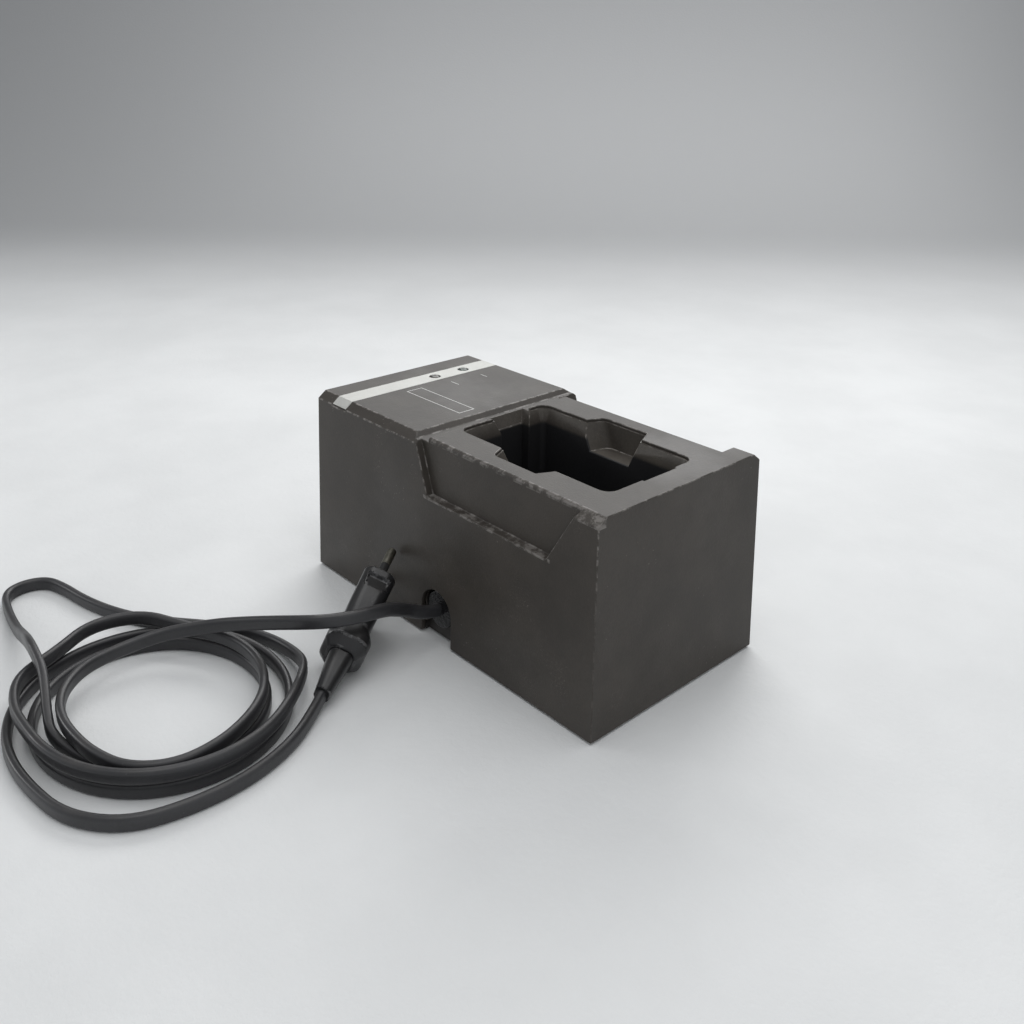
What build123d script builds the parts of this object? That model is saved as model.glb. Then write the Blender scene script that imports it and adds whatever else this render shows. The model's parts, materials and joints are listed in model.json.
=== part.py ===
from build123d import *
import os
from math import cos, exp, pi, radians, sin, sqrt, tan

# Desktop battery charger with a keyed pocket, a raised head and a coiled flat mains cord.
# Millimetres, +Z up, z = 0 on the table. +X is the head end, +Y the face with the cord.

# Case, measured at its top edge
body_length = 177.8
body_depth = 94.3
body_height = 88.5
draft = 0.02
wall = 2.5
foot_drop = 0.8
edge_chamfer_across = 4.0
edge_chamfer_down = 3.05

# Groove between the deck and the head
head_edge_x = 18.5
groove_floor_x = 16.1
deck_edge_x = 9.8
groove_depth = 2.0

# Finger recesses in the two long faces
recess_top_head_x = 15.1
recess_low_head_x = 6.5
recess_low_end_x = -63.8
recess_top_end_x = -78.7
recess_low_z = 63.9
recess_back_y = body_depth / 2 - 3.05
recess_front_y = 11.45 - body_depth / 2
recess_corner = 1.5

# Charging pocket: opening in the deck
pocket_end_x = -76.0
pocket_head_x = 8.8
pocket_front_y = -21.0
pocket_back_y = 28.4
pocket_corner = 5.0
notch_x = -33.6
notch_reach = 7.4
notch_half_mouth = 15.4
notch_half_end = 12.0
notch_round = 4.0
head_key_x = 13.2
head_key_front_y = -12.2
head_key_back_y = 9.3
end_key_reach = 1.0
end_key_front_y = -8.7
end_key_back_y = 9.9
deck_lip = 1.2
funnel_run = 2.6
funnel_drop = 5.8
shelf_z = 75.8
shelf_half_mouth = 10.8
shelf_half_end = 8.5
pocket_floor_z = 34.0
cup_wall = 1.8
cup_floor = 2.0
cup_clearance = 0.15
cup_flange = 2.5
cup_flange_margin = 3.0
cup_screw_inset = 8.0
cup_screw_side = 4.9
cup_screw_length = 5.0
key_depth = 24.0

# Stripe and LEDs on the head
stripe_x = 71.9
stripe_width = 10.4
stripe_thickness = 0.6
stripe_clearance = 0.1
led_diameter = 5.0
led_clearance = 0.15
led_y = (-8.2, -26.0)
led_body_length = 8.6
led_flange = 1.0
led_flange_margin = 0.4

# Base plate, feet and screws
base_thickness = 3.0
base_clearance = 0.2
foot_diameter = 13.0
foot_pocket = 1.5
foot_x = body_length / 2 - 18.9
foot_y = body_depth / 2 - 14.15
base_screw_x = body_length / 2 - 6.4
base_screw_y = body_depth / 2 - 6.15
base_screw_bore = 16.0
label_length = 60.0
label_width = 30.0
label_y = -1.0
label_thickness = 0.2
post_size = 9.0
post_top_z = 50.0
screw_diameter = 3.0
screw_head_diameter = 5.6
screw_head_height = 1.6
screw_play = 0.2
pilot_play = 0.05

# Cord arch and grommet
arch_width = 19.5
arch_top_z = 23.6
gland_x = 0.5
gland_z = 14.0
gland_lip_diameter = 16.8
gland_neck_diameter = 15.0
gland_flange_diameter = 20.0
gland_flange = 1.8
gland_lip = 1.4
gland_play = 0.15
arch_recess = 4.3
arch_rim = 2.0
tongue_thickness = 3.0
tongue_face_y = body_depth / 2 + draft * body_height - arch_recess
tongue_back_y = tongue_face_y - tongue_thickness
gland_face_y = tongue_face_y + 1.8
clamp_length = 8.0
clamp_gap = 5.6

# Flat mains cord
cord_width = 5.8
cord_thickness = 3.5
cord_round = 1.4
cord_play = 0.05
layer_pitch = 6.4
floor_layer_z = cord_width / 2

# Transformer in the head
core_x = 52.0
core_stack = 26.0
core_width = 60.0
core_height = 50.0
core_yoke = 10.0
core_base_z = 8.0
bobbin_wall = 1.2
bobbin_play = 0.3
winding_reach = 9.5
strap_thickness = 1.2
strap_foot = 12.0

# Main board under the pocket
board_thickness = 1.6
board_z = 9.0
board_end_x = 6.9 - body_length / 2
board_head_x = -16.0
board_half_depth = body_depth / 2 - 11.65
board_screw_inset = 5.0

# Contacts in the pocket floor
contact_x = notch_x
contact_y = (pocket_front_y + pocket_back_y) / 2
contact_pitch = 9.0
contact_diameter = 3.0
contact_play = 0.12
contact_rise = 2.5
contact_travel = 2.0
shoulder_diameter = 4.4
spring_bore = 5.0
spring_wire = 0.4
spring_turns = 6
block_height = 9.0
cover_thickness = 1.2
tail_diameter = 1.4

# Detect plunger and its switch
plunger_x = -60.0
plunger_diameter = 4.0
plunger_travel = 1.5
switch_height = 10.0

# Flat two-pin plug lying on its edge against the case
plug_tail = Vector(-7.6, 109.5, 5.7)
plug_axis = Vector(0.548, -0.800, 0.245)
plug_across = Vector(0.477, 0.058, -0.877)
boot_length = 18.0
wing_length = 12.0
plug_body_length = 24.0
plug_width = 35.3
plug_thickness = 14.0
wing_width = 25.0
wing_thickness = 18.0
pin_length = 19.0
pin_diameter = 4.0
pin_spacing = 18.6
sleeve_length = 10.0
sleeve_wall = 0.35

# Cord route, chosen points from the grommet to the coil, then round the long lobe
lead_points = [
    (gland_x, gland_face_y, gland_z),
    (gland_x, gland_face_y + 7.5, gland_z),
    (0.5, 64.0, 19.6),
    (-1.0, 75.0, 27.0),
    (-1.5, 87.0, 31.6),
    (5.5, 98.0, 30.6),
    (18.0, 108.0, 26.0),
    (35.0, 117.0, 20.0),
    (51.5, 125.5, 14.0),
    (61.5, 136.0, 10.3),
]
lobe_points = [
    (11.5, 104.0, 8.8),
    (27.0, 99.8, 5.0),
    (44.0, 101.0, floor_layer_z),
    (60.0, 107.5, floor_layer_z),
    (74.5, 118.5, floor_layer_z),
    (88.0, 132.5, floor_layer_z),
    (104.0, 142.5, floor_layer_z),
    (122.0, 149.0, floor_layer_z),
    (139.0, 153.5, floor_layer_z),
    (151.5, 158.0, floor_layer_z),
    (156.5, 166.5, floor_layer_z),
    (150.5, 175.0, floor_layer_z),
    (138.0, 178.0, floor_layer_z + 0.4),
    (122.0, 179.5, 5.5),
    (108.0, 181.0, 11.0),
    (94.0, 183.0, 15.4),
    (80.0, 185.5, 15.9),
    (66.0, 188.5, 15.9),
    (54.1, 192.6, 15.5),
    (45.4, 194.6, 12.0),
    (36.4, 195.6, 6.8),
]

# Coil of piled loops: polar angle in degrees about its centre, counted on from turn to turn
coil_x = 31.0
coil_y = 157.0
coil_oval = 2.5
coil_oval_angle = 10.0
upper_start_angle = 5.0
upper_end_angle = 580.0
upper_radius = 33.0
upper_growth = 11.0
bulge_reach = 17.0
bulge_angle = 349.0
bulge_spread = 22.0
lower_start_angle = 115.0
lower_end_angle = 927.0
lower_radius = 38.0
lower_growth = 8.4
coil_step = 45.0

# Smaller pieces inside
fuse_y = 12.0
fuse_z = 12.0
fuse_start_x = -8.0
fuse_length = 20.0
fuse_diameter = 5.2
wire_diameter = 1.6
heatsink_start_x = -70.0
heatsink_length = 40.0
heatsink_y = 28.2
heatsink_height = 34.0
heatsink_plate = 3.0
fin_count = 5
fin_reach = 4.0
capacitor_diameter = 12.5
capacitor_height = 19.5
capacitor_inset = 12.0
capacitor_y = -16.5
capacitor_pitch = 15.0
rectifier_x = -32.5
rectifier_length = 19.0
rectifier_width = 5.0
rectifier_height = 13.0
rectifier_pitch = 5.0
board_edge_gap = 0.5
resistor_length = 6.5
resistor_diameter = 2.4
resistor_pitch = 4.0
resistor_x = -56.0
resistor_count = 4
led_lead_drop = 8.0
led_post_diameter = 6.0
led_post_y = (2.0, -36.0)

os.makedirs("parts", exist_ok=True)

seated = (Align.CENTER, Align.CENTER, Align.MIN)
hung = (Align.CENTER, Align.CENTER, Align.MAX)
base_top_z = foot_drop + base_thickness
rim_z = body_height - deck_lip
funnel_foot_z = rim_z - funnel_drop
pad_z = body_height - groove_depth - wall
pocket_x = (pocket_end_x + pocket_head_x) / 2
pocket_y = (pocket_front_y + pocket_back_y) / 2
pocket_length = pocket_head_x - pocket_end_x
pocket_depth = pocket_back_y - pocket_front_y
flange_end_x = pocket_end_x - end_key_reach - cup_flange_margin
flange_head_x = head_key_x + cup_flange_margin
flange_front_y = pocket_front_y - notch_reach - cup_flange_margin
flange_back_y = pocket_back_y + notch_reach + cup_flange_margin


def half_length(z):
    return body_length / 2 + draft * (body_height - z)


def half_depth(z):
    return body_depth / 2 + draft * (body_height - z)


def block(x, y, z, mode=Mode.ADD):
    with Locations(((x[0] + x[1]) / 2, (y[0] + y[1]) / 2, (z[0] + z[1]) / 2)):
        Box(x[1] - x[0], y[1] - y[0], z[1] - z[0], mode=mode)


def rod(x, y, z, diameter, mode=Mode.ADD):
    with Locations((x, y, z[0])):
        Cylinder(diameter / 2, z[1] - z[0], align=seated, mode=mode)


def finish(piece, name):
    piece.part.label = name
    export_step(piece.part, f"parts/{name}.step")


# Outline of a finger recess, its sides carried on above the top of the case
def recess_sketch(face_y, margin):
    over = 4.0
    lean = 1 + over / (body_height - recess_low_z)
    head_x = recess_low_head_x + (recess_top_head_x - recess_low_head_x) * lean
    end_x = recess_low_end_x + (recess_top_end_x - recess_low_end_x) * lean
    with BuildSketch(Plane.XZ.offset(-face_y)) as outline:
        with BuildLine():
            Polyline(
                (head_x, body_height + over),
                (recess_low_head_x, recess_low_z),
                (recess_low_end_x, recess_low_z),
                (end_x, body_height + over),
                close=True,
            )
        make_face()
        fillet(outline.vertices().group_by(Axis.Y)[0], recess_corner)
        if margin:
            offset(amount=margin, kind=Kind.INTERSECTION)
    return outline.sketch


# Notch in the front or back side of the pocket opening, its head end corner rounded
def notch_sketch(z, half_mouth, half_end, side, margin=0.0):
    flare = (half_mouth - half_end) / notch_reach
    edge_y = pocket_front_y if side < 0 else pocket_back_y
    inside = funnel_run + 0.5
    inner_y = edge_y - side * inside
    outer_y = edge_y + side * notch_reach
    half_inner = half_mouth + flare * inside
    with BuildSketch(Plane.XY.offset(z)) as outline:
        with BuildLine():
            Polyline(
                (notch_x - half_inner, inner_y),
                (notch_x - half_end, outer_y),
                (notch_x + half_end, outer_y),
                (notch_x + half_inner, inner_y),
                close=True,
            )
        make_face()
        outer_corners = outline.vertices().filter_by_position(Axis.Y, outer_y - 0.01, outer_y + 0.01)
        fillet(outer_corners.sort_by(Axis.X)[-1], notch_round)
        if margin:
            offset(amount=margin)
    return outline.sketch


# Pocket opening: rounded main part and a key at each end
def main_opening(z, inset):
    with BuildSketch(Plane.XY.offset(z)) as outline:
        with Locations((pocket_x, pocket_y)):
            RectangleRounded(pocket_length - 2 * inset, pocket_depth - 2 * inset, pocket_corner - inset)
    return outline.sketch


def key_opening(z, inset):
    start_x = pocket_end_x - end_key_reach
    with BuildSketch(Plane.XY.offset(z)) as outline:
        with Locations(((start_x + pocket_x) / 2, (end_key_front_y + end_key_back_y) / 2)):
            Rectangle(pocket_x - start_x - 2 * inset, end_key_back_y - end_key_front_y - 2 * inset)
        with Locations(((pocket_x + head_key_x) / 2, (head_key_front_y + head_key_back_y) / 2)):
            Rectangle(head_key_x - pocket_x, head_key_back_y - head_key_front_y - 2 * inset)
    return outline.sketch


# Case: tapered outer form, hollow, with everything that is cut into it
draft_angle = Vector(1, 0).get_angle(Vector(1, draft))
screw_places = [(x, y) for x in (-base_screw_x, base_screw_x) for y in (-base_screw_y, base_screw_y)]
cup_screw_places = [
    (x, y)
    for x in (flange_end_x + cup_screw_inset, flange_head_x - cup_screw_inset - cup_screw_side)
    for y in (flange_front_y + cup_screw_side, flange_back_y - cup_screw_side)
]
stripe_start_x = stripe_x - stripe_width / 2
stripe_end_x = stripe_x + stripe_width / 2
chamfer_foot_z = body_height - edge_chamfer_down
chamfer_foot_y = half_depth(chamfer_foot_z)
chamfer_top_y = body_depth / 2 - edge_chamfer_across
chamfer_run = Vector(chamfer_foot_y - chamfer_top_y, chamfer_foot_z - body_height).normalized()

with BuildPart() as cavity:
    with BuildSketch(Plane.XY.offset(foot_drop)):
        Rectangle(2 * (half_length(foot_drop) - wall), 2 * (half_depth(foot_drop) - wall))
    extrude(amount=body_height - wall - foot_drop, taper=draft_angle)
    # Its two long top edges slope with the chamfers outside
    roof_z = body_height - wall
    roof_half = half_depth(roof_z) - 2 * wall
    slope_reach = 3 * wall
    with BuildSketch(Plane.YZ):
        with BuildLine():
            Polyline(
                (-roof_half, roof_z),
                (roof_half, roof_z),
                (roof_half + slope_reach, roof_z - slope_reach),
                (roof_half + slope_reach, 0),
                (-roof_half - slope_reach, 0),
                (-roof_half - slope_reach, roof_z - slope_reach),
                close=True,
            )
        make_face()
    extrude(amount=body_length, both=True, mode=Mode.INTERSECT)
    extrude(recess_sketch(recess_back_y - wall, wall), amount=-20, mode=Mode.SUBTRACT)
    extrude(recess_sketch(recess_front_y + wall, wall), amount=20, mode=Mode.SUBTRACT)
    block((flange_end_x, head_edge_x + wall), (flange_front_y, flange_back_y), (pad_z, body_height), Mode.SUBTRACT)
    block((deck_edge_x - wall, head_edge_x + wall), (-body_depth, body_depth), (pad_z, body_height), Mode.SUBTRACT)
    for x, y in screw_places:
        with Locations((x, y, base_top_z)):
            Box(post_size, post_size, post_top_z - base_top_z, align=seated, mode=Mode.SUBTRACT)
        side = 1 if y > 0 else -1
        end = 1 if x > 0 else -1
        with Locations((x + end * post_size / 2, y + side * post_size / 2, base_top_z)):
            Box(post_size, post_size, post_top_z - base_top_z, align=seated, mode=Mode.SUBTRACT)

with BuildPart() as housing:
    with BuildSketch(Plane.XY.offset(foot_drop)):
        Rectangle(2 * half_length(foot_drop), 2 * half_depth(foot_drop))
    extrude(amount=body_height - foot_drop, taper=draft_angle)
    top_face = housing.faces().sort_by(Axis.Z)[-1]
    chamfer(top_face.edges().filter_by(Axis.X), edge_chamfer_across, edge_chamfer_down, reference=top_face)
    extrude(recess_sketch(recess_back_y, 0), amount=-20, mode=Mode.SUBTRACT)
    extrude(recess_sketch(recess_front_y, 0), amount=30, mode=Mode.SUBTRACT)
    with BuildSketch(Plane.XZ):
        with BuildLine():
            Polyline(
                (deck_edge_x, body_height + 1),
                (deck_edge_x, body_height - groove_depth),
                (groove_floor_x, body_height - groove_depth),
                (head_edge_x, body_height),
                (head_edge_x, body_height + 1),
                close=True,
            )
        make_face()
    extrude(amount=body_depth, both=True, mode=Mode.SUBTRACT)
    add(cavity.part, mode=Mode.SUBTRACT)
    for sketch in (
        main_opening(pad_z - 1, 0),
        key_opening(pad_z - 1, 0),
        notch_sketch(pad_z - 1, notch_half_mouth, notch_half_end, -1),
        notch_sketch(pad_z - 1, notch_half_mouth, notch_half_end, 1),
    ):
        extrude(sketch, amount=body_height - pad_z + 2, mode=Mode.SUBTRACT)
    # Channel of the stripe over the top and both chamfers
    with BuildSketch(Plane.YZ.offset(stripe_start_x - stripe_clearance)):
        inward = Vector(chamfer_run.Y, -chamfer_run.X) * stripe_thickness
        foot = Vector(chamfer_foot_y, chamfer_foot_z) + inward + chamfer_run
        bend_y = chamfer_top_y - stripe_thickness * tan(radians(chamfer_run.get_angle(Vector(1, 0)) / 2))
        with BuildLine():
            Polyline(
                (-foot.X - 3, foot.Y),
                (-foot.X, foot.Y),
                (-bend_y, body_height - stripe_thickness),
                (bend_y, body_height - stripe_thickness),
                (foot.X, foot.Y),
                (foot.X + 3, foot.Y),
                (foot.X + 3, body_height + 1),
                (-foot.X - 3, body_height + 1),
                close=True,
            )
        make_face()
    extrude(amount=stripe_width + 2 * stripe_clearance, mode=Mode.SUBTRACT)
    for y in led_y:
        rod(stripe_x, y, (body_height - 2 * wall, body_height + 1), led_diameter + 2 * led_clearance, Mode.SUBTRACT)
    # Arch for the cord in the back face, open at the foot, with a rim carried on inwards
    rim_face_y = half_depth(foot_drop) - wall - 0.5
    with BuildSketch(Plane.XZ.offset(-rim_face_y)):
        with Locations((0, arch_top_z - arch_width / 2)):
            Circle(arch_width / 2 + arch_rim)
        with Locations((0, base_top_z + base_clearance)):
            Rectangle(
                arch_width + 2 * arch_rim,
                arch_top_z - arch_width / 2 - base_top_z - base_clearance,
                align=(Align.CENTER, Align.MIN),
            )
    extrude(amount=rim_face_y - tongue_back_y)
    with BuildSketch(Plane.XZ.offset(1 - tongue_back_y)):
        with Locations((0, arch_top_z - arch_width / 2)):
            Circle(arch_width / 2)
        with Locations((0, 0)):
            Rectangle(arch_width, arch_top_z - arch_width / 2, align=(Align.CENTER, Align.MIN))
    extrude(amount=-20, mode=Mode.SUBTRACT)
    for x, y in screw_places:
        rod(x, y, (base_top_z - 1, base_top_z + base_screw_bore), screw_diameter + 2 * pilot_play, Mode.SUBTRACT)
    for x, y in cup_screw_places:
        rod(x, y, (pad_z - 1, pad_z + 3), screw_diameter + 2 * pilot_play, Mode.SUBTRACT)
    # Posts that carry the LED board
    led_board_top_z = body_height + 0.3 - led_body_length
    for y in led_post_y:
        rod(stripe_x, y, (led_board_top_z, body_height - wall + 0.5), led_post_diameter)
        rod(stripe_x, y, (led_board_top_z - 1, body_height - wall), screw_diameter * 0.7, Mode.SUBTRACT)
finish(housing, "housing")

# Pocket cup: funnel with a ledge in each notch, key way and straight well
with BuildPart() as pocket_cup:
    block(
        (flange_end_x, flange_head_x),
        (flange_front_y, flange_back_y),
        (pad_z - cup_flange, pad_z),
    )
    shrink = funnel_run - cup_wall
    for sketch in (main_opening(funnel_foot_z, cup_clearance), key_opening(funnel_foot_z, cup_clearance)):
        extrude(sketch, amount=rim_z - funnel_foot_z)
    extrude(main_opening(pocket_floor_z - cup_floor, shrink), amount=funnel_foot_z - pocket_floor_z + cup_floor)
    key_foot_z = funnel_foot_z - key_depth
    block(
        (pocket_x, head_key_x - shrink),
        (head_key_front_y + shrink, head_key_back_y - shrink),
        (key_foot_z - cup_wall, funnel_foot_z),
    )
    for side in (-1, 1):
        outer = notch_sketch(shelf_z - cup_wall, notch_half_mouth, notch_half_end, side, -cup_clearance)
        extrude(outer, amount=rim_z - shelf_z + cup_wall)
    # Funnel and well
    land = cup_clearance + 0.3
    slope = Vector(1, 0).get_angle(Vector(funnel_drop, funnel_run - land))
    for sketch in (main_opening(rim_z, land), key_opening(rim_z, land)):
        extrude(sketch, amount=-funnel_drop, taper=slope, mode=Mode.SUBTRACT)
    extrude(main_opening(pocket_floor_z, funnel_run), amount=funnel_foot_z - pocket_floor_z, mode=Mode.SUBTRACT)
    block(
        (pocket_x, head_key_x - funnel_run),
        (head_key_front_y + funnel_run, head_key_back_y - funnel_run),
        (key_foot_z, funnel_foot_z),
        Mode.SUBTRACT,
    )
    for side in (-1, 1):
        with BuildPart(mode=Mode.PRIVATE) as scoop:
            add(notch_sketch(rim_z, notch_half_mouth, notch_half_end, side, -land))
            add(notch_sketch(shelf_z, shelf_half_mouth, shelf_half_end, side, -land))
            loft(ruled=True)
        add(scoop.part, mode=Mode.SUBTRACT)
    for x, y in cup_screw_places:
        rod(x, y, (pad_z - cup_flange - 1, pad_z + 1), screw_diameter + 2 * screw_play, Mode.SUBTRACT)
    floor_z = (pocket_floor_z - cup_floor - 1, pocket_floor_z + 1)
    for step in (-1, 0, 1):
        rod(contact_x + step * contact_pitch, contact_y, floor_z, contact_diameter + 0.8, Mode.SUBTRACT)
    # Guide of the detect plunger under the floor
    rod(plunger_x, contact_y, (pocket_floor_z - 8, pocket_floor_z - 1), plunger_diameter + 3)
    rod(plunger_x, contact_y, (pocket_floor_z - 9, pocket_floor_z + 1), plunger_diameter + 0.24, Mode.SUBTRACT)
finish(pocket_cup, "pocket_cup")


# Screw with a cross slot, its head below or above the face at z
def screw(x, y, z, length, up):
    way = 1 if up else -1
    with Locations((x, y, z)):
        Cylinder(screw_head_diameter / 2, screw_head_height, align=hung if up else seated)
        Cylinder(screw_diameter / 2, length, align=seated if up else hung)
    with Locations((x, y, z - way * screw_head_height)):
        Box(screw_head_diameter * 0.6, 0.7, 1.2, mode=Mode.SUBTRACT)
        Box(0.7, screw_head_diameter * 0.6, 1.2, mode=Mode.SUBTRACT)


# Radius of each corner of a tube route, as large as its two runs allow
def corner_radii(points):
    points = [Vector(p) for p in points]
    radii = []
    for before, here, after in zip(points, points[1:], points[2:]):
        turn = (here - before).get_angle(after - here)
        shorter = min((here - before).length, (after - here).length)
        radii.append(0.45 * shorter / tan(radians(turn / 2)))
    return radii


def route_line(points):
    with BuildLine() as route:
        FilletPolyline(*points, radius=corner_radii(points))
    return route.wire()


# Two arcs that join two points with the given directions at both
def biarc(start, start_way, end, end_way):
    chord = end - start
    ways = start_way + end_way
    spare = 2 * (1 - start_way.dot(end_way))
    along = chord.dot(ways)
    if spare < 1e-9:
        reach = chord.dot(chord) / (4 * chord.dot(end_way))
    else:
        reach = (-along + sqrt(along * along + spare * chord.dot(chord))) / spare
    middle = (start + start_way * reach + end - end_way * reach) * 0.5
    first = TangentArc(start, middle, tangent=start_way)
    TangentArc(middle, end, tangent=first % 1)


# Curve of biarcs through a formula's points, a step of its variable apart
def wound_line(place, first, last, step, straight=0.0):
    count = round((last - first) / step)
    turns = [first + (last - first) * i / count for i in range(count + 1)]
    small = 0.01
    ways = [(place(t + small) - place(t - small)).normalized() for t in turns]
    with BuildLine() as wound:
        if straight:
            Line(place(first) - ways[0] * straight, place(first))
        for i in range(count):
            biarc(place(turns[i]), ways[i], place(turns[i + 1]), ways[i + 1])
        if straight:
            Line(place(last), place(last) + ways[-1] * straight)
    return wound.wire()


def wire(points, diameter=wire_diameter):
    line = route_line(points)
    with BuildSketch(Plane(origin=line @ 0, z_dir=line % 0)) as section:
        Circle(diameter / 2)
    sweep(section.sketch, path=line)


# Base plate with vents, rails, bosses, grommet seat and the tongue that closes the arch
strap_screw_y = core_width / 2 + 6.5
clamp_y = (tongue_back_y - clamp_gap - clamp_length, tongue_back_y - clamp_gap)
clamp_half = 9.5
pedestal_z = gland_z - cord_width / 2 - 0.1
board_screw_places = [
    (x, y)
    for x in (board_end_x + board_screw_inset, board_head_x - board_screw_inset)
    for y in (board_screw_inset - board_half_depth, board_half_depth - board_screw_inset)
]
with BuildPart() as base_plate:
    with BuildSketch(Plane.XY.offset(foot_drop)):
        Rectangle(
            2 * (half_length(foot_drop) - wall - base_clearance),
            2 * (half_depth(foot_drop) - wall - base_clearance),
        )
    extrude(amount=base_thickness)
    with GridLocations(2 * foot_x, 2 * foot_y, 2, 2):
        with Locations((0, 0, foot_drop)):
            Cylinder(foot_diameter / 2, foot_pocket, align=seated, mode=Mode.SUBTRACT)
    for x, y in screw_places:
        rod(x, y, (0, base_top_z + 1), screw_diameter + 2 * screw_play, Mode.SUBTRACT)
        rod(x, y, (0, foot_drop + screw_head_height + 0.2), screw_head_diameter + 2 * screw_play, Mode.SUBTRACT)
    with Locations((core_x, 0, foot_drop)):
        with GridLocations(0, 7.0, 1, 6):
            Box(core_stack * 0.8, 2.5, 2 * base_thickness + 1, mode=Mode.SUBTRACT)
    for side in (-1, 1):
        rail_y = side * (core_width / 2 - core_yoke / 2)
        block(
            (core_x - core_stack / 2, core_x + core_stack / 2),
            (rail_y - 3, rail_y + 3),
            (base_top_z, core_base_z),
        )
        rod(core_x, side * strap_screw_y, (base_top_z, core_base_z), 9)
        rod(core_x, side * strap_screw_y, (base_top_z - 1, core_base_z + 1), screw_diameter + 0.1, Mode.SUBTRACT)
    for x, y in board_screw_places:
        rod(x, y, (base_top_z, board_z), 7)
        rod(x, y, (base_top_z - 1, board_z + 1), screw_diameter + 0.1, Mode.SUBTRACT)
    block((gland_x - clamp_half, gland_x + clamp_half), clamp_y, (base_top_z, pedestal_z))
    for side in (-1, 1):
        x = gland_x + side * 6.0
        rod(x, sum(clamp_y) / 2, (base_top_z, pedestal_z + 1), screw_diameter + 0.1, Mode.SUBTRACT)
    block(
        (fuse_start_x - 3, fuse_start_x + fuse_length + 3),
        (fuse_y - 5, fuse_y + 5),
        (base_top_z, base_top_z + 1.5),
    )
    block((-arch_width / 2, arch_width / 2), (tongue_face_y, body_depth), (0, base_top_z + 1), Mode.SUBTRACT)
    tongue_half = arch_width / 2 - base_clearance
    block((-tongue_half, tongue_half), (tongue_back_y, tongue_face_y), (foot_drop, arch_top_z - arch_width / 2))
    block((-tongue_half, tongue_half), (tongue_back_y - 3, tongue_back_y), (foot_drop, base_top_z))
    with Locations(Location((gland_x, tongue_face_y + 2, gland_z), (90, 0, 0))):
        Cylinder(gland_neck_diameter / 2 + gland_play, 6, align=seated, mode=Mode.SUBTRACT)
finish(base_plate, "base_plate")

with BuildPart() as rubber_feet:
    with GridLocations(2 * foot_x, 2 * foot_y, 2, 2):
        Cylinder(foot_diameter / 2 - 0.05, foot_drop + foot_pocket, align=seated)
    fillet(rubber_feet.faces().group_by(Axis.Z)[0].edges(), 0.5)
finish(rubber_feet, "rubber_feet")

with BuildPart() as base_screws:
    for x, y in screw_places:
        screw(x, y, foot_drop + screw_head_height + 0.2, base_screw_bore - 2.0, True)
finish(base_screws, "base_screws")

with BuildPart() as cup_screws:
    for x, y in cup_screw_places:
        screw(x, y, pad_z - cup_flange, cup_screw_length, True)
finish(cup_screws, "cup_screws")

with BuildPart() as rating_label:
    block(
        (-label_length / 2, label_length / 2),
        (label_y - label_width / 2, label_y + label_width / 2),
        (foot_drop - label_thickness, foot_drop),
    )
finish(rating_label, "rating_label")

# Silver stripe over the head and down both chamfers, with a hole for each LED
foot_gap = 0.5
with BuildPart() as silver_stripe:
    with BuildSketch(Plane.YZ.offset(stripe_start_x)):
        outer_foot = Vector(chamfer_foot_y, chamfer_foot_z) - chamfer_run * foot_gap
        inner_foot = outer_foot + inward
        with BuildLine():
            Polyline(
                (-inner_foot.X, inner_foot.Y),
                (-outer_foot.X, outer_foot.Y),
                (-chamfer_top_y, body_height),
                (chamfer_top_y, body_height),
                (outer_foot.X, outer_foot.Y),
                (inner_foot.X, inner_foot.Y),
                (bend_y, body_height - stripe_thickness),
                (-bend_y, body_height - stripe_thickness),
                close=True,
            )
        make_face()
    extrude(amount=stripe_width)
    for y in led_y:
        rod(stripe_x, y, (body_height - 2, body_height + 1), led_diameter + 0.6, Mode.SUBTRACT)
finish(silver_stripe, "silver_stripe")

# LEDs in the head and the small board that carries them
led_top_z = body_height + 0.3
for name, y in zip(("charge_led", "ready_led"), led_y):
    with BuildPart() as led:
        rod(stripe_x, y, (led_board_top_z, led_board_top_z + led_flange), led_diameter + 2 * led_flange_margin)
        rod(stripe_x, y, (led_board_top_z, led_top_z), led_diameter)
        fillet(led.faces().sort_by(Axis.Z)[-1].edges(), led_diameter * 0.35)
    finish(led, name)

with BuildPart() as led_board:
    block(
        (stripe_x - 6, stripe_x + 6),
        (led_post_y[1] - 4, led_post_y[0] + 4),
        (led_board_top_z - board_thickness, led_board_top_z),
    )
    for y in led_post_y:
        rod(stripe_x, y, (led_board_top_z - 3, led_board_top_z + 1), screw_diameter, Mode.SUBTRACT)
finish(led_board, "led_board")

with BuildPart() as led_screws:
    for y in led_post_y:
        with Locations((stripe_x, y, led_board_top_z - board_thickness)):
            Cylinder(screw_head_diameter / 2, screw_head_height, align=hung)
            Cylinder(screw_diameter * 0.35 - pilot_play, 5.0, align=seated)
finish(led_screws, "led_screws")

# Transformer: laminated core, split bobbin, two windings and the strap that holds it
window_width = (core_width - 4 * core_yoke) / 2
window_height = core_height - 2 * core_yoke
core_top_z = core_base_z + core_height
core_middle_z = core_base_z + core_height / 2
with BuildPart() as transformer_core:
    with Locations((core_x, 0, core_base_z)):
        Box(core_stack, core_width, core_height, align=seated)
    with Locations((core_x, 0, core_middle_z)):
        with GridLocations(0, 2 * core_yoke + window_width, 1, 2):
            Box(core_stack + 2, window_width, window_height, mode=Mode.SUBTRACT)
finish(transformer_core, "transformer_core")

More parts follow.
